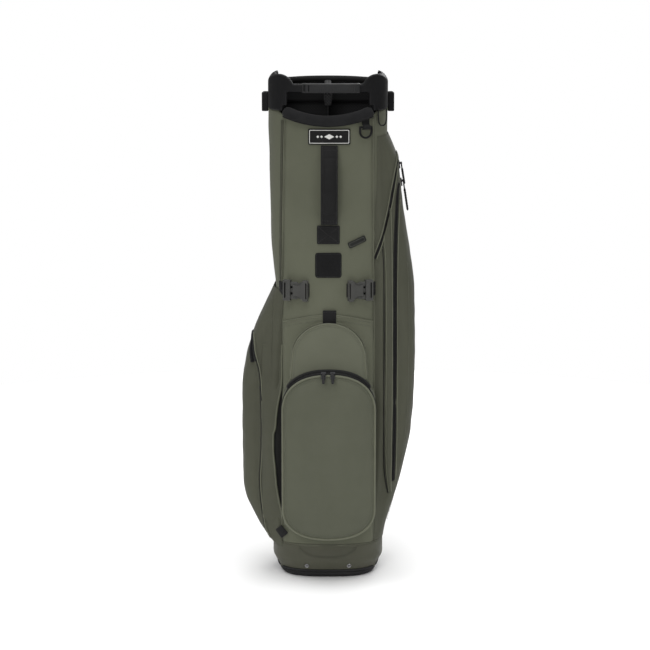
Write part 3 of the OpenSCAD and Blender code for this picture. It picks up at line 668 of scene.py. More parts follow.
def on_front(x, z, o=0.0):
    """Points and normals of the front at x and z, o outwards."""
    x, z = np.broadcast_arrays(np.asarray(x, float), np.asarray(z, float))
    return front(x, z, o), front_normal(x, z)


def even_t(count):
    """Tube parameters that are evenly spaced round the outline."""
    fine = np.linspace(0, 360, 7201)
    p = tube_point(fine, 64.0)
    run = np.concatenate([[0], np.cumsum(np.linalg.norm(np.diff(p, axis=0), axis=1))])
    return np.interp(np.linspace(0, run[-1], count, endpoint=False), run, fine)


def rounded_loop(w, h, r, cx=0.0, cz=0.0, arc=7, straight=6):
    """A closed rounded rectangle in x and z; r is one radius, or (top, bottom)."""
    top, low = r if isinstance(r, tuple) else (r, r)
    corners = ((w / 2 - top, h / 2 - top, top, 0), (-w / 2 + top, h / 2 - top, top, 90),
               (-w / 2 + low, -h / 2 + low, low, 180), (w / 2 - low, -h / 2 + low, low, 270))
    points = []
    for i, (x, z, rad, start) in enumerate(corners):
        for a in np.radians(np.linspace(start, start + 90, arc)):
            points.append((x + rad * math.cos(a), z + rad * math.sin(a)))
        nx, nz, nrad, nstart = corners[(i + 1) % 4]
        a = math.radians(nstart)
        end = (nx + nrad * math.cos(a), nz + nrad * math.sin(a))
        for k in range(1, straight):
            share = k / straight
            points.append((points[-k][0] + (end[0] - points[-k][0]) * share,
                           points[-k][1] + (end[1] - points[-k][1]) * share))
    return np.array(points) + (cx, cz)


def turned(loop, degrees, about):
    a = math.radians(degrees)
    m = np.array([[math.cos(a), math.sin(a)], [-math.sin(a), math.cos(a)]])
    return (np.asarray(loop) - about) @ m + about


def badge_parts(loop, thick, low=0.0, crown=0.0, edge=0.8):
    """A flat patch on the front, with rounded edges and a slight crown."""
    loop = np.asarray(loop, float)
    mid = loop.mean(axis=0)
    half = np.abs(loop - mid).max(axis=0)
    size = half.min()
    rows = [(1.0, low - 0.4), (1.0, low + thick - edge)]
    for k in (0.35, 0.75, 1.0):
        rows.append((1 - edge * k / size, low + thick - edge * (1 - math.sin(k * math.pi / 2))))
    for k in (0.8, 0.55, 0.3, 0.1):
        rows.append((k, low + thick + crown * (1 - k * k)))
    verts = []
    for scale, o in rows:
        p = mid + (loop - mid) * scale
        verts.append(front(p[:, 0], p[:, 1], o))
    count = len(loop)
    verts.append(front(mid[:1], mid[1:2], low + thick + crown))
    faces = grid_faces(len(rows), count, True)
    last = (len(rows) - 1) * count
    faces += [(last + i, last + (i + 1) % count, len(rows) * count) for i in range(count)]
    return np.concatenate(verts), faces


def seam_on_front(points, o=0.0, count=80):
    """A path and normals on the tube's front through (x, z) points."""
    curve = smooth_curve(upright(points), count)
    return on_front(curve[:, 0], curve[:, 2], o)


def beside(path, normals, shift):
    """The path moved sideways along the surface."""
    return path + unit(np.cross(np.gradient(path, axis=0), normals)) * shift


def dress(obj, body, slot, material, *nodes):
    """Gives a piece its body and material, and the CAD nodes that it stands for. Its slot is not used."""
    obj.data.materials.clear()
    for m in material if isinstance(material, (list, tuple)) else (material,):
        obj.data.materials.append(m)
    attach(obj, body)
    if nodes:
        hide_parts(*nodes)
    return obj


def sew(name, parts, slot, material, *nodes):
    """One dressed piece of the bag from several (vertices, faces)."""
    return dress(merged(name, parts), BAG, slot, material, *nodes)


def copy_node(node, name):
    """A free copy of a CAD node's mesh, welded."""
    mesh = frame["nodes"][node].data.copy()
    mesh.materials.clear()
    obj = bpy.data.objects.new(name, mesh)
    bpy.context.scene.collection.objects.link(obj)
    return finish_mesh(obj, ("WELD", {"merge_threshold": WELD}))


def softened(node, name, voxel, rounds):
    """A CAD node's shape with its edges rounded, as a moulding or sewn piece has."""
    return finish_mesh(finish_mesh(copy_node(node, name), remeshed(voxel)),
                       ("SMOOTH", {"iterations": rounds, "factor": 0.5}))


def remeshed(voxel):
    return "REMESH", {"mode": "VOXEL", "voxel_size": voxel * MM, "use_smooth_shade": True}


def thickened(thick):
    """The modifier that gives a sheet its thickness, half to each side."""
    return "SOLIDIFY", {"thickness": thick * MM, "offset": 0}


def mesh_points(obj):
    co = np.empty(len(obj.data.vertices) * 3)
    obj.data.vertices.foreach_get("co", co)
    return co.reshape(-1, 3) / MM


def set_points(obj, points):
    obj.data.vertices.foreach_set("co", (np.asarray(points) * MM).ravel())
    obj.data.update()


def bevel_node(node, width, material):
    """Keeps a CAD node, with broken edges and a better material."""
    obj = frame["nodes"][node]
    w = obj.modifiers.new("weld", "WELD")
    w.merge_threshold = WELD
    b = obj.modifiers.new("edges", "BEVEL")
    b.width = width * MM
    b.segments = 2
    b.limit_method = "ANGLE"
    b.angle_limit = math.radians(40)
    n = obj.modifiers.new("normals", "WEIGHTED_NORMAL")
    n.keep_sharp = False
    paint_node(node, material)


def paint_node(node, material):
    obj = frame["nodes"][node]
    if not obj.material_slots:
        obj.data.materials.append(material)
    for s in obj.material_slots:
        s.material = material


CLOTH_FRAMES = 20
CLOTH_STIFFNESS = 15.0


def inflate(obj, pressure, cap):
    """Blows a closed mesh up with cloth pressure, and caps how far any point moves."""
    before = mesh_points(obj)
    cloth = obj.modifiers.new("cloth", "CLOTH")
    s = cloth.settings
    s.use_pressure = True
    s.uniform_pressure_force = pressure
    s.effector_weights.gravity = 0
    s.mass = 0.2
    s.tension_stiffness = s.compression_stiffness = CLOTH_STIFFNESS
    s.bending_stiffness = 0.6
    cloth.point_cache.frame_start = 1
    cloth.point_cache.frame_end = CLOTH_FRAMES
    for f in range(1, CLOTH_FRAMES + 1):
        bpy.context.scene.frame_set(f)
    finish_mesh(obj)
    move = mesh_points(obj) - before
    length = np.linalg.norm(move, axis=1)
    scale = np.where(length > cap, cap / (length + 1e-9), 1.0)
    set_points(obj, before + move * scale[:, None])
    bpy.context.scene.frame_set(1)


# ---------------------------------------------------------------- the tube
SEAM_RIGHT = ((77, 815), (77.5, 740), (78, 660), (79, 560), (80, 470), (80.5, 380), (81, 250), (80, 130),
              (79, 70))
SEAM_LEFT = ((-74.5, 815), (-76, 740), (-77.5, 660), (-79.5, 560), (-80.5, 470))
VENT_LINE = ((-78.3, 812), (-79.8, 740), (-81.2, 660), (-82.6, 570), (-83, 528))


def tube_top(t):
    """Height of the tube's upper edge: scooped at the front, under the roll."""
    p = tube_point(t, CUFF_Z)
    x, y = p[..., 0], p[..., 1]
    scoop = ROLL_Z - np.sqrt(np.maximum((ROLL_R + ROLL_T / 2) ** 2 - np.minimum(np.abs(x), 90) ** 2, 1)) + 3
    return np.where((y < -HALF_D / 3) & (np.abs(x) < 84), np.minimum(scoop, CUFF_Z), CUFF_Z)


SHELL_T = 3.2
SKIN_INSET = 0.4


def make_tube():
    ts = even_t(170)
    top = tube_top(ts)
    rows = 200
    share = np.linspace(0, 1, rows)[:, None]
    z = BOOT_H - 3 + (top - BOOT_H + 3)[None, :] * share
    t = np.broadcast_to(ts, z.shape)
    fade = np.minimum(1, np.minimum((z - BOOT_H) / 30, (top[None, :] - z) / 25).clip(0, 1))
    # gentle hollows and folds of the foam-backed cloth
    o = waves(tube_point(t, z), (1 / 85, 1.5), (1 / 33, 0.45, 3.1)) * fade - SKIN_INSET
    obj = grid_object("tube_shell", tube_point(t, z, o), wrap=True)
    finish_mesh(obj, ("SOLIDIFY", {"thickness": SHELL_T * MM, "offset": -1, "material_offset": 1}))
    dress(obj, BAG, "shell_fabric", (olive, lining), "bag_tube")


def make_front_seams():
    """Corner seams of the tube with their thread, and the narrow perforated strip beside the left one."""
    cords, threads = [], []
    for points in (SEAM_RIGHT, SEAM_LEFT):
        path, normals = seam_on_front(points, 0.2, 200)
        cords.append(rod_parts(path, 1.0))
        for side in (-1, 1):
            threads.append(stitches(beside(path, normals, side * 3.2) + normals * 0.2, normals, 0.0))
    sew("corner_seams", cords, "shell_fabric", piping)
    sew("corner_thread", threads, "shell_fabric", olive_thread)
    path, normals = seam_on_front(VENT_LINE, 0.35, 120)
    sew("vent_strip", [ribbon_parts(path, normals, 5.2, 0.9)], "shell_fabric", vent_mesh)


def make_front_panel():
    """Sewn-on panel over the lower front, with its arched and double-stitched upper edge."""
    low, high = box_mm("front_panel")
    half, top = high[0], high[2]
    corner_drop = 15.0

    def arched(x):
        return top + 0.5 - corner_drop * (np.abs(x) / half) ** 1.8

    xs = np.concatenate([[-half, -half + 0.3, -half + 1.2], np.linspace(-half + 4, half - 4, 60),
                         [half - 1.2, half - 0.3, half]])
    rise = np.concatenate([np.linspace(0, 0.985, 110), [0.992, 0.997, 1.0]])
    ztop = arched(xs)
    z = low[2] + (ztop - low[2])[None, :] * rise[:, None]
    x = np.broadcast_to(xs, z.shape)
    edge = np.minimum(np.minimum(x + half, half - x), (ztop[None, :] - z))
    lift = 2.4 * np.clip(edge / 1.2, 0, 1) ** 0.5 - 0.2
    soft = waves(np.stack([x, 0 * x, z], axis=-1), (1 / 60, 0.8, 5.0))
    lift = lift + soft * np.clip(edge / 25, 0, 1)
    obj = grid_object("lower_front_panel", front(x, z, lift))
    dress(obj, BAG, "shell_fabric", olive, "front_panel")
    line = [(a, arched(a)) for a in np.linspace(-half + 1, half - 1, 40)]
    parts = []
    for drop in (3.0, 8.5):
        path, normals = seam_on_front([(a, b - drop) for a, b in line], 2.2, 160)
        parts.append(stitches(path + normals * 0.2, normals, 0.1))
    path, normals = seam_on_front(line, 1.2, 160)
    sew("panel_thread", parts, "shell_fabric", olive_thread)
    sew("panel_edge", [rod_parts(path, 1.3)], "shell_fabric", piping)


# ---------------------------------------------------------------- ball pocket and hood
BALL_LOW, BALL_HIGH = box_mm("ball_pocket")
BALL_W = BALL_HIGH[0] - BALL_LOW[0]
BALL_H = BALL_HIGH[2] - BALL_LOW[2]
BALL_MID = 1.2                  # the pocket stands a little to one side
BALL_Z = (BALL_LOW[2] + BALL_HIGH[2]) / 2
BALL_Y = BALL_LOW[1]
BALL_EDGE_Y = BALL_Y + 15
BALL_DROP = 6.0                 # how far its upper edge lies below its CAD solid's


def ball_loop(inset, drop=0.0):
    """The pocket's outline in x and z: a high arch, straight sides and a round foot."""
    half = max(BALL_W / 2 - inset, 0.4)
    top, low = BALL_HIGH[2] - inset - drop, BALL_LOW[2] + inset
    arch, foot = max(64 - 0.72 * inset, 3), max(56 - 0.62 * inset, 3)
    a = np.radians(np.linspace(0, 90, 24))
    c, d = np.cos(a) ** 0.86, np.sin(a) ** 0.86
    upper = np.stack([half * c, top - arch + arch * d], axis=1)
    lower = np.stack([half * c, low + foot - foot * d], axis=1)
    side = np.stack([np.full(16, half), np.linspace(low + foot, top - arch, 18)[1:-1]], axis=1)
    right = np.vstack([lower[::-1], side, upper])
    left = right[::-1][1:-1] * (-1, 1)
    return np.vstack([right, left]) + (BALL_MID, 0)


def ball_face_y(inset, loop):
    """How far forward the pocket's face stands, inset from its edge seam."""
    share = np.clip(inset / 72, 0, 1)
    crown = 14.5 * (1 - (1 - share) ** 2.6)
    sag = 2.5 * np.clip((BALL_Z - loop[:, 1]) / BALL_H, -0.5, 0.5) * share
    soft = waves(upright(loop), (1 / 48, 1.3, 9.0), (1 / 19, 0.35, 2.0))
    return BALL_EDGE_Y - crown - sag + soft * np.clip(inset / 16, 0, 1)


def make_ball_pocket():
    rows = []
    back_edge = ball_loop(1.0)
    base = front(back_edge[:, 0], back_edge[:, 1], 2.6)
    for k in np.linspace(0, 1, 14):
        bulge = math.sin(math.pi * k)
        loop = ball_loop(1.0 - k - 1.8 * bulge, BALL_DROP * k)
        fold = waves(upright(loop, 60 * k), (1 / 26, 1.1, 4.0)) * bulge
        loop = loop + unit(loop - (BALL_MID, BALL_Z)) * fold[:, None]
        rows.append(upright(loop, base[:, 1] * (1 - k) + BALL_EDGE_Y * k))
    for inset in (1.2, 3.5, 7, 11, 16, 21, 27, 33, 40, 47, 54, 61, 67, 72, 76, 78.6):
        loop = ball_loop(inset, BALL_DROP)
        rows.append(upright(loop, ball_face_y(inset, loop)))
    rows = np.array(rows)
    count = rows.shape[1]
    verts = rows.reshape(-1, 3)
    faces = grid_faces(len(rows), count, True)
    # the last ring is closed by a strip of faces across it
    last = (len(rows) - 1) * count
    for k in range(1, count // 2):
        faces.append((last + k - 1, last + k, last + (count - k) % count, last + (count - k + 1) % count)
                     if k > 1 else (last, last + 1, last + count - 1))
    faces.append((last + count // 2 - 1, last + count // 2, last + count // 2 + 1))
    obj = mesh_object("ball_pocket_shell", verts, faces)
    finish_mesh(obj, SUBDIVIDED)
    dress(obj, BAG, "shell_fabric", olive_ball, "ball_pocket")
    # piping round the face and the foot, thread inside the first and binding behind it
    inner = ball_loop(5.2, BALL_DROP)
    foot = ball_loop(0.2)
    face_ring = ball_ring(upright(ball_loop(0.3, BALL_DROP), BALL_EDGE_Y - 0.6))
    foot_ring = ball_ring(front(foot[:, 0], foot[:, 1], 3.0))
    thread_ring = ball_ring(upright(inner, ball_face_y(5.2, inner) - 0.3))
    dark_ring = ball_ring(upright(ball_loop(-0.6, BALL_DROP * 0.7), BALL_EDGE_Y + 5.0))
    sew("ball_pocket_piping", [rod_parts(face_ring, 1.9, 10), rod_parts(foot_ring, 1.6)], "shell_fabric",
        piping)
    sew("ball_pocket_binding", [rod_parts(dark_ring, 1.3)], "shell_fabric", dark_binding)
    sew("ball_pocket_thread", [stitches(thread_ring, facing_front(thread_ring), 0.0)], "shell_fabric",
        olive_thread)


def ball_ring(loop):
    """A closed path round the pocket, evenly resampled."""
    return resample(closed(loop), 320)


def facing_front(path):
    """Normals that all point straight forward."""
    return np.tile((0.0, -1.0, 0.0), (len(path), 1))


def make_ball_zip():
    """Coil zip over the pocket's top, between its edge and the hood."""
    loop = ball_loop(-0.4, BALL_DROP * 0.4)
    arc = np.array(sorted((p for p in loop if p[1] > BALL_HIGH[2] - 33), key=lambda p: p[0]))
    y = BALL_EDGE_Y + 10.0
    path = resample(upright(arc, y), 150)
    up = unit(path - (BALL_MID, y, BALL_HIGH[2] - 60)) * 0.95 + (0, -0.45, 0)
    sew("ball_zip_tape", [ribbon_parts(path + up * 0.3, up, 15, 1.4)], "zip_tape", zip_cloth, "ball_zip")
    sew("ball_zip_coil", coil_parts(path + up * 1.2, up), "zip_tape", zip_coil)


def coil_parts(path, normals, pitch=1.5, reach=2.4):
    """The interlocking teeth of a coil zip, as short bars across it."""
    count = int(path_length(path) / pitch)
    at = resample(path, count)
    n = normals_at(path, normals, at)
    along = heading(at)
    side = unit(np.cross(along, n))
    parts = []
    for i, (p, a, s, up) in enumerate(zip(at, along, side, n)):
        lean = 0.25 if i % 2 else -0.25
        bar = np.array([p - s * reach, p - s * reach * 0.4 + up * 0.5, p + s * reach * 0.4 + up * 0.5,
                        p + s * reach])
        parts.append(rod_parts(bar + a * lean, 0.5, 5))
    return parts


def make_hood():
    """Raised pouch behind the ball pocket's top, piped round its arch."""
    low, high = box_mm("hood_pouch")
    w, top, foot = high[0], high[2] - 3.5, low[2]
    rise = 58.0
    y_top, y_foot = front(0.0, top, 0)[1] - 12.0, low[1]

    def loop(inset):
        half = max(w - inset, 0.0)
        up = max(rise - inset * rise / w, 0.0)
        angles = np.radians(np.linspace(0, 90, 21))
        arch = [(0.95 * half * math.cos(a), top - rise + up * math.sin(a)) for a in angles]
        sides = [(half * (1 - 0.05 * k), foot + (top - rise - foot) * k)
                 for k in np.linspace(0, 1, 12, endpoint=False)]
        right = np.array(sides + arch)
        return np.vstack([right, right[::-1][1:] * (-1, 1)]) + (BALL_MID, 0)

    def face_y(p, inset):
        slope = np.clip((top - p[:, 1]) / (top - foot), 0, 1)
        crown = 2.2 * (1 - (1 - min(inset / 40, 1)) ** 2)
        soft = waves(upright(p), (1 / 40, 0.7, 7.0)) * min(inset / 12, 1)
        return y_top + (y_foot - y_top) * slope - crown + soft

    rows = []
    for k in np.linspace(0, 1, 6):
        p = loop(-0.8 * math.sin(math.pi * k))
        base = front(p[:, 0], p[:, 1], 1.6)
        rows.append(upright(p, base[:, 1] * (1 - k) + (face_y(p, 0) + 1.5) * k))
    for inset in (0.9, 3, 6, 10, 16, 23, 31, 40, 49, 57, 63, w):
        p = loop(inset)
        rows.append(upright(p, face_y(p, inset)))
    obj = grid_object("hood_shell", rows)
    finish_mesh(obj, ("WELD", {"merge_threshold": 0.1 * MM}), SUBDIVIDED)
    dress(obj, BAG, "shell_fabric", olive_light, "hood_pouch")
    edge = loop(0.2)
    root = loop(-1.5)
    cords = [rod_parts(resample(upright(edge, face_y(edge, 0) + 0.8), 200), 1.5),
             rod_parts(resample(front(root[:, 0], root[:, 1], 2.4), 200), 1.2)]
    inner = loop(4.5)
    path = resample(upright(inner, face_y(inner, 4.5) - 0.2), 160)
    sew("hood_piping", cords, "shell_fabric", piping)
    sew("hood_thread", [stitches(path, facing_front(path), 0.0)], "shell_fabric", olive_thread)


# ---------------------------------------------------------------- side pockets
LONG_LOW, LONG_HIGH = box_mm("long_pocket")
# Outer edge of each side pocket, by height
LONG_EDGE = ((60, 98), (83, 103), (115, 112), (150, 122.5), (195, 134.5), (261, 147), (316, 151.5),
             (360, 153.5), (468, 154), (513, 152.5), (581, 143), (647, 133), (705, 127), (742, 121.5),
             (762, 114), (785, 104))
SHORT_EDGE = ((52, 97), (82, 118), (117, 137), (145, 149), (176, 152.6), (260, 153), (340, 152), (383, 146),
              (436, 131), (480, 111), (517, 93.5))


FULL_REACH = {1: 154, -1: 153}


def pocket_rail(side):
    """The pocket's section in plan at full reach, from the front seam round to the back."""
    full = FULL_REACH[side]
    y1, y2 = LONG_LOW[1], LONG_HIGH[1]
    points = np.array([(80.5, front(80.5, 300)[1] - 1.0), (93, -73.5), (106, -66), (120, -61.5),
                       (134, y1 - 4.5), (147, y1 + 5), (full - 0.8, y1 + 22), (full, -12), (full, 8),
                       (full - 3.5, y2 - 14), (full - 18, y2 - 1), (122, y2 + 3), (102, y2 + 9),
                       (85, y2 + 16)])
    return smooth_curve([(a, b, 0) for a, b in points], 200)


RAILS = {1: pocket_rail(1), -1: pocket_rail(-1)}


def pocket_point(side, s, z):
    """Points on a side pocket's cloth."""
    s, z = np.broadcast_arrays(np.asarray(s, float), np.asarray(z, float))
    edge = spline(LONG_EDGE if side > 0 else SHORT_EDGE, z)
    rail = np.stack([np.interp(s, np.linspace(0, 1, 200), RAILS[side][:, k]) for k in range(2)], axis=-1)
    # where the same part of the section lies on the bare tube
    t_front = front_t(80.0, 300)
    t = 360 - (360 - t_front) * (1 - s) ** 0.8 + 46 * s ** 1.5
    t = np.where(side > 0, t, 180 - t)
    bare = tube_point(t, z, 0.6)
    bare_x = np.abs(bare[..., 0])
    tube_x = np.abs(tube_point(0.0 if side > 0 else 180.0, z)[..., 0])
    reach = np.clip((edge - tube_x) / (FULL_REACH[side] - tube_x), 0, 1.03)
    x = bare_x + (rail[..., 0] - bare_x) * reach
    y = bare[..., 1] + (rail[..., 1] - bare[..., 1]) * reach ** 0.8
    return np.stack([side * x, y, z + 0 * x], axis=-1)


def make_side_shell(name, side, z1, z2, node):
    cols, rows = 110, int((z2 - z1) / 4)
    s = np.linspace(0, 1, cols)[None, :]
    z = np.linspace(z1, z2, rows)[:, None]
    p = pocket_point(side, s, z)
    n = grid_normals(p)
    n *= np.sign((n * (p * (1, 1, 0))).sum(axis=-1))[..., None]
    fade = (np.sin(np.pi * s) ** 0.5) * (np.sin(np.pi * np.linspace(0.02, 0.98, rows)) ** 0.5)[:, None]
    seed = 3.0 if side > 0 else 8.0
    wave = waves(p * (1, 1, 0.45), (1 / 60, 3.2, seed)) + waves(p, (1 / 24, 0.9, seed + 4))
    p = p + n * (wave * fade - 0.5)[..., None]
    obj = grid_object(name, p)
    # the sides take the darker copy of the shell cloth, which is painted shade
    dress(obj, BAG, "shell_fabric", olive_side_painted_shade, node)


TABLES = {}
TABLE_STEP = 2.0


def pocket_table(side):
    """Points and normals over the pocket's front, by height and place along the section."""
    if side not in TABLES:
        zs = np.arange(50, 800, TABLE_STEP)
        p = pocket_point(side, np.linspace(0, 0.5, 260)[None, :], zs[:, None])
        n = grid_normals(p)
        n *= np.sign(np.where(np.abs(n[..., 1]) > 0.15, -n[..., 1], n[..., 0] * side))[..., None]
        TABLES[side] = zs, p, n
    return TABLES[side]


def on_pocket(side, x, z):
    """The point and normal of the pocket's front, at x seen from the front."""
    zs, table, table_n = pocket_table(side)
    points, normals = [], []
    for a, b in zip(np.ravel(x), np.ravel(z)):
        level = np.clip((b - zs[0]) / TABLE_STEP, 0, len(zs) - 1.001)
        i, k = int(level), level - int(level)
        row = table[i] * (1 - k) + table[i + 1] * k
        j = int(np.argmin(np.abs(np.abs(row[:, 0]) - abs(a))))
        points.append(row[j])
        normals.append(table_n[i, j])
    return np.array(points), np.array(normals)


def pocket_line(side, knots, count=140, lift=0.6):
    """A path over the pocket's front through (x, z) knots, with its normals."""
    curve = smooth_curve(upright(knots), count)
    p, n = on_pocket(side, curve[:, 0], curve[:, 2])
    for _ in range(3):
        p[1:-1] = (p[:-2] + p[1:-1] * 2 + p[2:]) / 4
        n[1:-1] = (n[:-2] + n[1:-1] * 2 + n[2:]) / 4
    n = unit(n)
    return p + n * lift, n


def make_long_pocket():
    make_side_shell("long_pocket_shell", 1, 62, 784, "long_pocket")
    cords, threads = [], []
    # flap over the upright zip: two edges in piping, thread inside them
    left = ((96, 612), (99.5, 560), (100.5, 500), (101, 400), (101, 300), (101.5, 220), (104, 180),
            (108, 152))
    right = ((108, 658), (110, 600), (111.5, 500), (112, 400), (112, 300), (111.5, 220), (110.8, 152))
    edges = []
    for knots, r, inward in ((left, 0.9, 3.0), (right, 1.25, -3.0)):
        path, n = pocket_line(1, knots)
        edges.append((path, n))
        cords.append(rod_parts(path + n * 0.4, r))
        path, n = pocket_line(1, [(x + inward, z) for x, z in knots[:-1]])
        threads.append(stitches(path + n * 1.6, n))
    path, n = pocket_line(1, [(x - 3.4, z) for x, z in left[:-1]] + [(106, 150)], 140, 0.3)
    binding = rod_parts(path, 0.8)
    (a, na), (b, nb) = edges
    share = np.linspace(0, 1, 9)[None, :, None]
    flap = a[:, None] * (1 - share) + b[:, None] * share
    lift = 0.3 + 2.0 * np.sin(np.pi * share) ** 0.5
    flap = flap + (na[:, None] * (1 - share) + nb[:, None] * share) * lift
    dress(grid_object("long_zip_flap", flap), BAG, "shell_fabric", olive_side_painted_shade)
    zip_knots = ((122.5, 700), (119.5, 672), (117, 600), (116.5, 500), (117, 400), (117, 300), (116, 220),
                 (114.5, 172))
    zip_path, zn = pocket_line(1, zip_knots, 160, 0.5)
    sew("long_zip_tape", [ribbon_parts(zip_path, zn, 6.4, 1.0)], "zip_tape", zip_cloth, "long_zip")
    sew("long_zip_coil", coil_parts(zip_path + zn * 0.6, zn, reach=1.3), "zip_tape", zip_coil)
    cords.append(rod_parts(pocket_line(1, [(x + 4.8, z) for x, z in zip_knots[1:]], 120, 0.5)[0], 1.0))
    # curved upper zip from the back of the pocket down to the corner seam
    upper = ((121.5, 752), (119.5, 738), (114, 703), (105, 653), (93, 606), (81.5, 572))
    path, n = pocket_line(1, upper, 150, 0.4)
    sew("upper_zip_tape", [ribbon_parts(path, n, 4.8, 1.2)], "zip_tape", zip_cloth)
    sew("upper_zip_coil", coil_parts(path + n * 0.7, n, reach=1.2), "zip_tape", zip_coil)
    for shift in (-3.4, 3.4):
        cords.append(rod_parts(beside(path, n, shift) + n * 0.1, 1.15))
        threads.append(stitches(beside(path, n, shift * 1.75), n, 0.5))
    # seam from the foot up the outer side
    outer = ((138, 560), (141, 480), (141, 400), (139, 300), (131, 220), (118, 150), (105, 96))
    threads.append(stitches(*pocket_line(1, outer), 0.3))
    sew("long_pocket_piping", cords, "shell_fabric", piping)
    sew("long_pocket_binding", [binding], "shell_fabric", dark_binding)
    sew("long_pocket_thread", threads, "shell_fabric", olive_thread)


def make_short_pocket():
    make_side_shell("short_pocket_shell", -1, 54, 516, "short_pocket")
    cords, threads = [], []
    # piping from the zip's end down the gusset, and the zip over the shoulder
    gusset = ((-130, 434), (-128, 404), (-120.5, 372), (-117.5, 340), (-117, 240), (-120, 166), (-113, 96),
              (-103, 66))
    path, n = pocket_line(-1, gusset, 170, 0.4)
    cords.append(rod_parts(beside(path, n, -1.6) + n * 0.3, 1.3))
    sew("short_pocket_binding", [ribbon_parts(path + n * 0.1, n, 2.8, 1.2)], "shell_fabric", dark_binding)
    threads.append(stitches(beside(path, n, -4.6), n, 0.3))
    threads.append(stitches(beside(path, n, 3.6), n, 0.3))
    path, n = pocket_line(-1, ((-131.5, 436), (-131, 420), (-129.5, 404), (-126.5, 388)), 60, 0.6)
    sew("short_zip_tape", [ribbon_parts(beside(path, n, 4.4), n, 10.5, 1.3)], "zip_tape", zip_cloth,
        "short_zip")
    sew("short_zip_coil", coil_parts(beside(path, n, 4.4) + n * 0.8, n), "zip_tape", zip_coil)
    path, n = pocket_line(-1, ((-96, 505), (-98, 440), (-99, 380), (-99, 356)), 80, 0.3)
    threads.append(stitches(path, n, 0.2))
    sew("short_pocket_piping", cords, "shell_fabric", piping)
    sew("short_pocket_thread", threads, "shell_fabric", olive_thread)


SLEEVE_ROOT_X = -115.5


def make_sleeve():
    """Open-edged sleeve in front of the short pocket: a bowed panel with a bound edge, and a near-black
    sheet in its opening that is painted shade.
    """
    z1, z2 = 84.0, 420.0
    free = ((84, -79.5), (112, -80.2), (136, -84), (170, -88.5), (205, -91), (235, -93.2), (262, -93),
            (272, -90), (300, -88), (330, -83.5), (346, -81), (420, -80))
    zs = np.linspace(z1, z2, 70)
    free_x = spline(free, zs)
    rows = []
    for z, fx in zip(zs, free_x):
        bow = math.sin(math.pi * min(max((z - 104) / 250, 0), 1)) ** 0.7
        sink = -2.5 * (1 - min(1, min(z - z1, z2 - z) / 26))
        root = on_pocket(-1, [SLEEVE_ROOT_X], [z])[0][0]
        tip = on_pocket(-1, [fx], [z])[0][0] + np.array((-0.3, -0.95, 0)) * (1.0 + 8.0 * bow + sink)
        row = []
        for k in np.linspace(0, 1, 16):
            p = root * (1 - k) + tip * k
            arch = math.sin(math.pi * k)
            lift = (3.0 * bow + wander(p, 1 / 30, 1.0, 12.0)) * arch + (0.8 + sink) * (1 - k)
            row.append(p + np.array((-0.45, -0.9, 0)) * lift)
        rows.append(row)
    rows = np.array(rows)
    obj = grid_object("sleeve_panel", rows)
    finish_mesh(obj, thickened(1.6))
    dress(obj, BAG, "shell_fabric", olive_side_painted_shade, "bottle_sleeve")
    edge = resample(rows[:, -1], 120)
    n = np.tile((0.3, -0.95, 0.0), (120, 1))
    sew("sleeve_binding", [rod_parts(edge, 1.7)], "shell_fabric", piping)
    sew("sleeve_thread", [stitches(resample(rows[:, -2], 120) + (0, -1.2, 0), n)], "shell_fabric",
        olive_thread)
    # near-black sheet laid on the pocket behind the sleeve's open edge: painted shade inside the opening,
    # over the olive cloth
    inside = []
    for z in np.linspace(114, 352, 60):
        reach = 17 * math.sin(math.pi * (z - 113) / 240) ** 0.5
        p, n = on_pocket(-1, np.linspace(-80.8, -80.8 - reach, 12), [z] * 12)
        inside.append(p + n * 0.7)
    dress(grid_object("sleeve_shade_sheet", np.array(inside)), BAG, "black_padding", shade_paint_sleeve)
    low, high = box_mm("sleeve_tab")
    mid = (-82.0, (low[2] + high[2]) / 2 - 5)
    loop = turned(rounded_loop(16.5, 16.5, 1.0, *mid, arc=3, straight=8), 45, mid)
    sew("corner_tab", [badge_parts(loop, 1.6, 5.2, 0.3)], "black_webbing", web, "sleeve_tab")


# ---------------------------------------------------------------- front fittings
def make_name_plate():
    """Woven badge with a plain light border and a row of small diamonds."""
    cx, cz, w, h = face_of("name_plate")
    sew("badge", [badge_parts(rounded_loop(w, h, 2.5, cx, cz), 1.9, 0.2, 0.3)], "name_patch", badge_cloth,
        "name_plate")
    border = closed(rounded_loop(w - 5, h - 5, 1.2, cx, cz, arc=4, straight=12))
    parts = [ribbon_parts(*on_front(border[:, 0], border[:, 1], 2.35), 1.0, 0.45)]
    k = np.linspace(0, 1, 5, endpoint=False)[:, None]
    for x in (-19.5, -13, 0, 13, 19.5):
        wide, tall = (8.5, 4.6) if x == 0 else (2.4, 2.4)
        ends = np.array([(wide, 0), (0, tall), (-wide, 0), (0, -tall)])
        loop = np.vstack([a + (b - a) * k for a, b in zip(ends, np.roll(ends, -1, axis=0))]) + (cx + x, cz)
        parts.append(badge_parts(loop, 0.35, 2.25, edge=0.2))
    sew("badge_motif", parts, "name_patch", badge_thread)


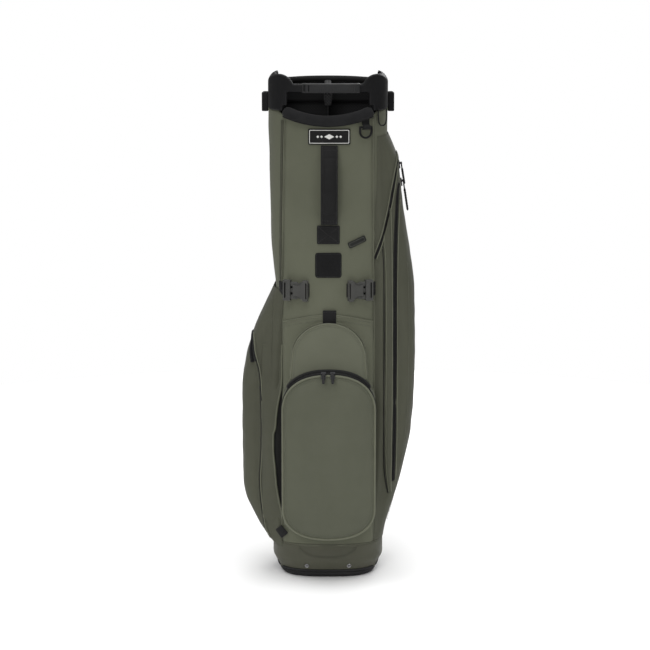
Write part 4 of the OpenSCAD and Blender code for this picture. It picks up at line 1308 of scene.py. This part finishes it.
def make_carry_strap():
    """Bowed carry handle with a raised core, and the stitched patch at its foot."""
    low, high = box_mm("carry_strap")
    cx = (low[0] + high[0]) / 2
    z1, z2 = low[2], high[2]
    zs = np.linspace(z1 + 1.5, z2 - 1.5, 90)
    share = (zs - z1) / (z2 - z1)
    rise = (front(cx, z1)[1] - low[1]) - 2.4
    lift = rise * (1 - (2 * share - 1) ** 2) ** 0.85
    xs = np.full(90, cx)
    path = np.stack([xs, front(xs, zs)[:, 1] - 1.6 - lift, zs], axis=1)
    n = unit(np.cross(np.gradient(path, axis=0), (1.0, 0, 0)))
    n *= np.where(n[:, 1] > 0, -1, 1)[:, None]
    core = slice(14, -14)
    parts = [ribbon_parts(path, n, 29, 2.6),
             ribbon_parts(path[core] + n[core] * 2.2, n[core], 20, 2.6, crown=0.8)]
    sew("carry_handle", parts, "black_webbing", web, "carry_strap")
    threads = [stitches(beside(path, n, side * 12.4) + n * 1.4, n, 0.0) for side in (-1, 1)]
    for z in (z2 - 4.5, z1 + 4.5, z1 + 8.5, z2 - 8.5):
        row = np.stack([np.linspace(cx - 12, cx + 12, 20), np.full(20, z)], axis=1)
        row = upright(row, np.interp(z, zs, path[:, 1]) - 1.7)
        threads.append(stitches(row, facing_front(row), 0.0))
    sew("carry_handle_thread", threads, "black_webbing", black_thread)
    cx, cz, w, h = face_of("carry_strap_patch")
    sew("handle_anchor", [badge_parts(rounded_loop(w, h, 2.0, cx, cz), 2.2, 0.2, 0.5)], "black_webbing", web,
        "carry_strap_patch")
    loop = closed(rounded_loop(w - 4.4, h - 4.4, 1.0, cx, cz, arc=3, straight=12))
    threads = [stitches(*on_front(loop[:, 0], loop[:, 1], 2.5), 0.1)]
    k = np.linspace(-1, 1, 20)
    for slope in (1, -1):
        line = on_front(cx + k * (w / 2 - 3), cz + slope * k * (h / 2 - 3), 2.8)
        threads.append(stitches(*line, 0.1))
    sew("handle_anchor_thread", threads, "black_webbing", black_thread)


TAG_SLANT = 24                  # degrees


def make_glove_patch():
    """Hook-tape square that holds a glove, and the slanted side tag."""
    cx, cz, w, h = face_of("glove_patch")
    sew("glove_square", [badge_parts(rounded_loop(w, h, 5, cx, cz), 1.7, 0.2, 0.4)], "grip_rubber",
        hook_tape, "glove_patch")
    loop = closed(rounded_loop(w - 4, h - 4, 3.5, cx, cz, arc=5, straight=10))
    sew("glove_thread", [stitches(*on_front(loop[:, 0], loop[:, 1], 2.0))], "grip_rubber", black_thread)
    mid = face_of("side_tag")[:2]
    loop = turned(rounded_loop(32, 10.5, 1.5, *mid, arc=4, straight=10), TAG_SLANT, mid)
    sew("slanted_tag", [badge_parts(loop, 1.7, 0.3, 0.3)], "black_moulding", tag_rubber, "side_tag")
    rim = closed(turned(rounded_loop(27, 6.2, 1.0, *mid, arc=3, straight=8), TAG_SLANT, mid))
    sew("slanted_tag_rim", [ribbon_parts(*on_front(rim[:, 0], rim[:, 1], 2.15), 0.7, 0.4)], "black_moulding",
        tag_rim)


def make_panel_tab():
    """Webbing tab on the front panel, longer than its CAD solid."""
    cx, cz, w, h = face_of("panel_tab")
    h += 11.5
    sew("panel_web_tab", [badge_parts(rounded_loop(w, h, 0.8, cx, cz, arc=3), 1.7, 2.6, 0.4)],
        "black_webbing", web, "panel_tab")
    x = np.linspace(cx - w / 2 + 2, cx + w / 2 - 2, 16)
    threads = [stitches(*on_front(x, z, 4.6), 0.0) for z in (cz + h / 2 - 3, cz - h / 2 + 3)]
    sew("panel_tab_thread", threads, "black_webbing", black_thread)


def make_ring_tab():
    """Webbing folded round the towel ring."""
    low, high = box_mm("towel_ring")
    cx, z = (low[0] + high[0]) / 2 - 0.8, high[2] - 1.75
    n = level_normal(cx, z)
    foot = front(cx, z)
    hinge_out, fold = 5.2, 3.2
    path = [foot + n * 1.3 + (0, 0, 15), foot + n * 1.5 + (0, 0, 9), foot + n * 2.4 + (0, 0, 4.6)]
    for a in np.radians(np.linspace(100, -80, 12)):
        path.append(foot + n * (hinge_out + fold * math.cos(a)) + (0, 0, fold * math.sin(a)))
    path.append(foot + n * 1.2 + (0, 0, -4.0))
    path = smooth_curve(path, 50)
    normals = unit(np.cross(np.cross(n, (0, 0, 1.0)), np.gradient(path, axis=0)))
    sew("ring_web", [ribbon_parts(path, normals, 13.5, 1.5)], "black_webbing", web, "ring_tab")
    paint_node("towel_ring", moulded)


def make_tape_loop():
    """Flat tape hanging in a loop from the cuff's edge."""
    low, high = box_mm("towel_loop")
    x1, x2, y = low[0] - 7, high[0] - 5, front(low[0] - 7, low[2])[1] - 5
    z1, z2 = low[2] + 8, high[2] + 6
    bend = ((x1 - 0.5, z2), (x1, z1 + 16), (x1 + 1.0, z1 + 6), (x1 + 4.2, z1 + 1.2), (x2 - 3.6, z1 + 1.6),
            (x2 - 0.6, z1 + 7), (x2 + 0.4, z1 + 16), (x2 - 0.2, z2))
    path = smooth_curve(upright(bend, y), 70)
    n = unit(np.cross(np.gradient(path, axis=0), (0, 1.0, 0)))
    sew("hanging_tape", [ribbon_parts(path, n, 6.5, 2.0)], "black_webbing", web, "towel_loop")


BUCKLE_OUTER_X = 70


def make_buckle_webs():
    """Webbing from each corner seam to its buckle, the short end past it, and the strip below it."""
    low, high = box_mm("buckle_webs")
    z, tall = (low[2] + high[2]) / 2, high[2] - low[2]
    parts, threads = [], []
    for side in (-1, 1):
        for x1, x2, lift, thread_x in ((74.5, 83.5, 1.0, 81.0), (32, 37.5, 1.2, 34.5)):
            xs = side * np.linspace(x1, x2, 24)
            path, n = on_front(xs, z, lift)
            if x1 > BUCKLE_OUTER_X:
                path = tube_point(front_t(xs, z), z, lift)
            parts.append(ribbon_parts(path, n, tall - 1, 1.5))
            thread_line = on_front(side * thread_x, np.linspace(z - 10, z + 10, 14), lift + 0.9)
            threads.append(stitches(*thread_line, 0.0))
        strip = on_front(side * np.linspace(36, 75, 30), z, 0.9)
        parts.append(ribbon_parts(*strip, tall - 2, 1.2))
    sew("buckle_webbing", parts, "black_webbing", web, "buckle_webs")
    sew("buckle_web_thread", threads, "black_webbing", black_thread)


# ---------------------------------------------------------------- cuff, boot and sole
def make_cuff():
    dress(softened("cuff_ring", "cuff_frame", 1.7, 7), BAG, "black_moulding", moulded, "cuff_ring")
    dress(softened("side_lugs", "side_lug_mouldings", 1.1, 4), BAG, "black_moulding", moulded, "side_lugs")
    dress(softened("cuff_grip", "bar_grip", 1.0, 5), BAG, "grip_rubber", grip_skin, "cuff_grip")
    # lining band round the back of the mouth
    below, above = 6, 44
    t = np.linspace(-22, 202, 120)[None, :]
    z = np.linspace(CUFF_Z - below, CUFF_Z + above, 16)[:, None]
    bulge = 1.6 * np.sin(np.pi * (z - CUFF_Z + below) / (below + above))
    obj = grid_object("mouth_lining", tube_point(t, z, -7.2 - bulge))
    finish_mesh(obj, thickened(1.0))
    dress(obj, BAG, "black_padding", lining, "cuff_lining")


ROLL_SIDES = 28


def make_roll():
    """Padded roll under the hand hole."""
    reach = math.asin(ROLL_HIGH[0] / ROLL_R) * 0.985
    angles = np.linspace(-reach, reach, 90)
    rows, seam = [], []
    for i, a in enumerate(angles):
        x, z = ROLL_R * math.sin(a), ROLL_Z - ROLL_R * math.cos(a)
        mid, n = front(x, z, 0.8), level_normal(x, z)
        radial = np.array((-math.sin(a), 0, math.cos(a)))
        from_end = min(i, len(angles) - 1 - i)
        full = 0.55 + 0.45 * math.sqrt(min(from_end / 4, 1))
        size = full * (1 + wander((x, 0, z), 1 / 25, 0.04))
        rows.append([mid + radial * (9.4 * size * blunt(math.cos(k), 0.9))
                     + n * (7.4 * size * blunt(math.sin(k), 0.9))
                     for k in round_turn(ROLL_SIDES)])
        seam.append(mid - radial * 8.3 + n * 3.6)
    obj = mesh_object("hand_roll", np.reshape(rows, (-1, 3)), capped_faces(len(rows), ROLL_SIDES))
    finish_mesh(obj, SUBDIVIDED)
    dress(obj, BAG, "black_padding", foam, "cuff_roll")
    sew("hand_roll_piping", [rod_parts(resample(seam[2:-2], 150), 1.3)], "black_padding", black_cloth)


def make_back_rim():
    """Soft padded rim that shows behind the bar, round the back of the mouth."""
    t = np.linspace(22, 158, 90)
    path = tube_point(t, CUFF_Z + 40.0, -8.5)
    path[:, 2] += 2.5 * np.sin(np.radians(t))
    sew("mouth_rim", [rod_parts(path, 4.6, 16, flat=1.15)], "black_padding", black_cloth)


def make_dividers():
    dress(softened("divider_bars", "divider_covers", 1.8, 9), BAG, "black_padding", divider_fabric,
          "divider_bars")
    low, high = box_mm("divider_panels")
    sheets = []
    for axis in (0, 1):
        a = np.linspace(low[axis] + 1, high[axis] - 1, 40)[None, :]
        a, z = np.broadcast_arrays(a, np.linspace(low[2] + 30, high[2], 90)[:, None])
        sway = waves(np.stack([a, np.full(a.shape, 40 * axis), z], axis=-1), (1 / 60, 2.4, 6.0))
        sway = sway * np.clip((high[2] - z) / 60, 0, 1)
        points = np.stack([a, sway, z] if axis == 0 else [sway, a, z], axis=-1)
        sheets.append((points.reshape(-1, 3), grid_faces(*z.shape)))
    obj = merged("divider_sheets", sheets)
    finish_mesh(obj, thickened(1.4))
    dress(obj, BAG, "divider_cloth", divider_fabric, "divider_panels")


# Height and offset from the tube's outline, round the sole's rim and the band above it
SOLE_RIM = ((0.4, -24), (0.1, -19), (1.2, -15.5), (5, -12.5), (9.5, -11), (10.7, -11.8), (10.9, -15))
BOOT_BAND = ((11.5, -11.5), (11.5, -9.3), (12.2, -8.4), (15.0, -7.1), (15.8, -7.3), (16.0, -8.4))


def make_boot():
    """Boot with its front recess, sole with its rim, screw slots and the lip over the cloth."""
    obj = softened("boot", "boot_moulding", 1.7, 5)
    # a shallow recess in the front, with an arched lower edge
    p = mesh_points(obj)
    level = outline_level(p, N_FRONT)
    taper = np.interp(p[:, 2], (11.3, 32), (0.885, 1.0))
    outer = (level > (taper * 0.978) ** N_FRONT) & (p[:, 1] < -40) & (p[:, 2] < BOOT_H + 0.5)
    low_edge = 40 + 15 * (np.abs(p[:, 0]) / 49) ** 3
    inside = np.minimum(np.minimum(p[:, 2] - low_edge, 59.5 - p[:, 2]), 50 - np.abs(p[:, 0]))
    p[:, 1] += 2.4 * np.clip(inside / 3.0 + 0.5, 0, 1) ** 2 * outer
    set_points(obj, p)
    finish_mesh(obj, ("SMOOTH", {"iterations": 2, "factor": 0.4}))
    dress(obj, BAG, "boot_moulding", boot_plastic, "boot")
    dress(softened("sole_plate", "sole_pad", 1.5, 3), "sole", "sole_rubber", sole_skin, "sole_plate")
    t = even_t(150)
    for name, body, levels in (("sole_rim", "sole", SOLE_RIM), ("boot_band", BAG, BOOT_BAND)):
        band = grid_object(name, [tube_point(t, z, o) for z, o in levels], wrap=True)
        dress(band, body, "sole_rubber", sole_skin)
    paint_node("boot_screws", steel)
    paint_node("sole_hinge_pin", steel)
    low, high = box_mm("boot_screws")
    z, y = (low[2] + high[2]) / 2, low[1] + 0.15
    k = np.linspace(-2, 2, 6)
    slots = []
    for x in (4 - high[0], high[0] - 4):
        for dx, dz in ((1, 0), (0, 1)):
            slots.append(rod_parts(upright(np.stack([x + dx * k, z + dz * k], axis=1), y), 0.45, 6))
    sew("screw_drives", slots, "black_moulding", moulded)
    # upper edge of the boot, over the cloth
    lip = tube_point(np.linspace(0, 360, 240), BOOT_H + 0.6, 0.2)
    sew("boot_lip", [rod_parts(lip, 1.3)], "boot_moulding", boot_plastic)


# ---------------------------------------------------------------- legs and linkage
def make_legs():
    """Materials of the legs and linkage, ribs on the feet and collars on the leg tubes."""
    for node in ("leg_brackets", "leg_knuckle_left", "leg_knuckle_right", "rod_guides"):
        bevel_node(node, 0.7, moulded)
    for node in ("strap_adjusters", "buckle_sockets", "buckle_tongues", "left_prong_upper",
                 "left_prong_lower", "right_prong_upper", "right_prong_lower"):
        bevel_node(node, 0.5, buckle_plastic)
    bevel_node("zip_sliders", 0.3, dark_steel)
    for node in ("leg_pins", "pull_rod_left", "pull_rod_right"):
        paint_node(node, steel)
    for node in ("leg_tube_left", "leg_tube_right", "stays"):
        paint_node(node, leg_metal)
    for side in ("left", "right"):
        body = "leg_" + side
        low, high = box_mm("leg_foot_" + side)
        x, y = (low[0] + high[0]) / 2, (low[1] + high[1]) / 2
        paint_node("leg_foot_" + side, sole_skin)
        parts = []
        a = np.linspace(0, 2 * math.pi, 41)
        for z, r in ((low[2] + 12, 9.9), (low[2] + 17, 9.6), (low[2] + 22, 9.3), (low[2] + 27, 9.0),
                     (high[2] - 4, 8.0)):
            ring = np.stack([x + r * np.cos(a), y + r * np.sin(a), np.full(41, z)], axis=1)
            parts.append(rod_parts(ring, 0.9, 6))
        dress(merged("foot_ribs_" + side, parts), body, "sole_rubber", sole_skin)
        tube_low, tube_high = box_mm("leg_tube_" + side)
        r = (tube_high[0] - tube_low[0]) / 2
        parts = []
        for z, h in ((tube_high[2] - 9, 18), (tube_low[2] + 5, 10)):
            profile = ((-h / 2, 0.2), (-h / 2 + 0.6, 1.3), (h / 2 - 0.6, 1.3), (h / 2, 0.2))
            verts = [(x + (r + fat) * math.cos(b), y + (r + fat) * math.sin(b), z + up)
                     for up, fat in profile for b in round_turn(40)]
            parts.append((verts, grid_faces(len(profile), 40, True)))
        dress(merged("leg_collars_" + side, parts), body, "black_moulding", moulded)


# ---------------------------------------------------------------- carrying gear
def back(x, z, o=0.0):
    """Points on the tube's back, o outwards."""
    x = np.asarray(x, float)
    share = np.clip(np.abs(x) / (HALF_W + o), 0, 0.999)
    t = 90 - np.sign(x) * np.degrees(np.arcsin(share ** (N_BACK / 2)))
    return tube_point(t, z, o)


def back_normal(x, z):
    return outward(back, np.asarray(x, float), np.asarray(z, float))


def keep_outside(obj, least):
    """Holds a pad's points off the tube behind it."""
    p = mesh_points(obj)
    level = outline_level(p, N_BACK, least)
    k = np.where(level < 1, level ** (-1 / N_BACK), 1.0)
    p[:, 0] *= k
    p[:, 1] *= k
    set_points(obj, p)


def make_pad(node, name, slot, thick, channels, loops, pressure, cap):
    """Swells a pad by cloth pressure, then presses its sewn channels in."""
    obj = copy_node(node, name)
    finish_mesh(obj, remeshed(4.0), ("SMOOTH", {"iterations": 4, "factor": 0.5}))
    inflate(obj, pressure, cap)
    finish_mesh(obj, SUBDIVIDED)
    keep_outside(obj, 0.4)
    p = mesh_points(obj)
    over = (outline_level(p, N_BACK) ** (1 / N_BACK) - 1) * HALF_D
    press = np.zeros(len(p))
    for z in channels:
        press = np.maximum(press, np.exp(-((p[:, 2] - z) / 3.0) ** 2))
    p[:, 1] -= press * np.clip(over / thick, 0, 1) * 0.45 * over
    set_points(obj, p)
    dress(obj, BAG, slot, mesh_pad, node)
    cords = []
    for loop in map(closed, loops):
        cords.append(rod_parts(resample(back(loop[:, 0], loop[:, 1], thick * 0.36), 260), 2.1, 10))
    sew(name + "_binding", cords, "black_padding", black_cloth)


STRAP_W = 19.5
STRAP_T = 1.5


def make_carrying_gear():
    _, cz, w, h = face_of("hip_pad")
    make_pad("hip_pad", "hip_cushion", "black_padding", 16, (cz - 48, cz, cz + 48),
             [rounded_loop(w - 1, h - 1, 20, 0, cz, arc=8, straight=14)], 4.0, 6.0)
    low, high = box_mm("shoulder_straps")
    cz = (low[2] + high[2]) / 2
    h = high[2] - low[2]
    w = high[0] - 1.5
    cx = 1.5 + w / 2
    make_pad("shoulder_straps", "shoulder_pads", "black_padding", 12, (cz - 70, cz - 24, cz + 24, cz + 70),
             [rounded_loop(w - 1, h - 1, 16, s * cx, cz, arc=8, straight=16) for s in (-1, 1)], 3.0, 4.0)
    web_low, web_high = box_mm("strap_webbing")
    parts, threads = [], []
    for side in (-1, 1):
        knots = [(side * cx, low[2] + 6), (side * cx, low[2] - 10), (side * 34, 540), (side * 44, 512),
                 (side * 46, 480), (side * 46, 400), (side * 46, web_low[2] + 3)]
        curve = smooth_curve(upright(knots), 160)
        path = back(curve[:, 0], curve[:, 2], 1.0)
        n = back_normal(curve[:, 0], curve[:, 2])
        parts.append(ribbon_parts(path, n, STRAP_W, STRAP_T))
        for shift in (-7.8, 7.8):
            threads.append(stitches(beside(path, n, shift) + n * 0.8, n, 0.0))
        zs = np.linspace(high[2] - 16, web_high[2] - 1, 60)
        o = np.interp(zs, (high[2] - 16, CUFF_Z - 22, CUFF_Z - 2, CUFF_Z + 3), (3.5, 3.0, 6.3, 7.2))
        xs = np.full(60, side * cx)
        n = back_normal(xs, zs) * (1, 1, 0)
        parts.append(ribbon_parts(back(xs, zs) + n * o[:, None], n, STRAP_W, STRAP_T))
        for z in (web_high[2] - 5, web_high[2] - 14):
            x = np.linspace(side * cx - 7, side * cx + 7, 12)
            threads.append(stitches(back(x, z, 8.2), back_normal(x, np.full(12, z)), 0.0))
    sew("harness_webbing", parts, "black_webbing", web, "strap_webbing")
    sew("harness_thread", threads, "black_webbing", black_thread)


# ---------------------------------------------------------------- zip pulls
def swept_parts(path, side, widths, thicks):
    """A closed form along a path, with its own half width and half thickness at each point."""
    up = np.cross(heading(path), side)
    rows = [path + side * (widths * blunt(math.cos(a), 0.7))[:, None]
            + up * (thicks * blunt(math.sin(a), 0.7))[:, None] for a in round_turn(12)]
    return np.stack(rows, axis=1).reshape(-1, 3), capped_faces(len(path), 12)


def make_pulls():
    joints = {j["child"]: j for j in frame["record"]["behaviour"]["joints"]}
    for body in ("ball_pull_left", "ball_pull_right", "long_pull_upper", "long_pull_lower", "short_pull"):
        joint = joints[body]
        pin = np.array(joint["pos_m"]) / MM
        axis = np.array(joint["axis"], float)
        p = mesh_points(frame["nodes"][body])
        far = p[np.argmax(np.linalg.norm(p - pin, axis=1))] - pin
        far -= axis * np.dot(far, axis)
        length = np.linalg.norm(far)
        d = far / length
        ring = []
        cord_end = 0.24 * length
        for s in (-1, 1):
            line = [pin + axis * 0.6 * s, pin + d * cord_end * 0.5 + axis * 0.9 * s,
                    pin + d * cord_end + axis * 0.7 * s]
            ring.append(rod_parts(smooth_curve(line, 14), 1.25))
        cap = [pin + axis * 0.9 * math.cos(b) - d * 0.9 * math.sin(b) for b in np.linspace(0, math.pi, 9)]
        ring.append(rod_parts(cap, 0.8))
        k = np.linspace(0, 1, 46)
        path = pin + d * (cord_end - 1.5 + (length - cord_end + 1.2) * k)[:, None]
        ridge = 0.16 * np.sin(k * 2 * math.pi * 9) * (k > 0.12) * (k < 0.9)
        taper = np.clip(np.minimum(k * 9, (1 - k) * 16) ** 0.5, 0.2, 1)
        dress(merged(body + "_cord", ring), body, "pull_rubber", black_thread)
        dress(merged(body + "_tab", [swept_parts(path, axis, 2.3 * taper + ridge, 1.9 * taper + ridge)]),
              body, "pull_rubber", pull_skin, body)


# ---------------------------------------------------------------- build
olive = shell_cloth()
olive_light = shell_cloth("olive_cloth_light", linear((90, 92, 78)))
olive_ball = shell_cloth("olive_cloth_ball", linear((79, 81, 68)))
# the shell cloth made darker for the side pockets, their zip flap and the sleeve: painted shade of the sides
# that turn away from the key light, on the same fabric as the front
olive_side_painted_shade = shell_cloth("olive_cloth_painted_side_shade", linear((72, 73, 61)))
piping = piping_cloth()
dark_binding = webbing("dark_binding")
olive_thread = thread("olive_thread", linear((84, 85, 71)))
black_thread = thread("black_thread", linear((30, 30, 31)))
badge_thread = thread("badge_thread", linear((222, 222, 218)))
lining = dotted_lining()
# near-black colour of the sheet in the sleeve's opening: painted shade, not a lining
shade_paint_sleeve = thread("sleeve_painted_shade", linear((26, 26, 24)))
vent_mesh = air_mesh("vent_mesh", (52, 53, 44), (92, 93, 80))
web = webbing()
badge_cloth = webbing("badge_cloth")
mesh_pad = air_mesh()
foam = foam_cloth()
black_cloth = webbing("black_binding")
divider_fabric = dotted_lining()
moulded = moulding()
buckle_plastic = moulding("buckle_plastic", linear((64, 64, 62)), 0.45)
tag_rubber = moulding("tag_rubber", linear((34, 35, 33)), 0.6)
tag_rim = moulding("tag_rim", linear((70, 71, 66)), 0.6)
grip_skin = grip_rubber()
boot_plastic = boot_moulding()
sole_skin = rubber()
hook_tape = air_mesh("hook_tape", (15, 15, 15), (27, 27, 28))
leg_metal = leg_paint()
steel = bright_steel()
dark_steel = moulding("dark_slider", linear((44, 44, 46)), 0.35)
pull_skin = rubber("pull_skin", linear((26, 26, 27)))
zip_cloth = zip_tape()
zip_coil = moulding("zip_coil", linear((20, 20, 21)), 0.4)

for make in (make_camera, make_studio, make_tube, make_front_seams, make_front_panel, make_ball_pocket,
             make_ball_zip, make_hood, make_long_pocket, make_short_pocket, make_sleeve, make_name_plate,
             make_carry_strap, make_glove_patch, make_panel_tab, make_ring_tab, make_tape_loop,
             make_buckle_webs, make_cuff, make_roll, make_back_rim, make_dividers, make_boot, make_legs,
             make_carrying_gear, make_pulls):
    make()
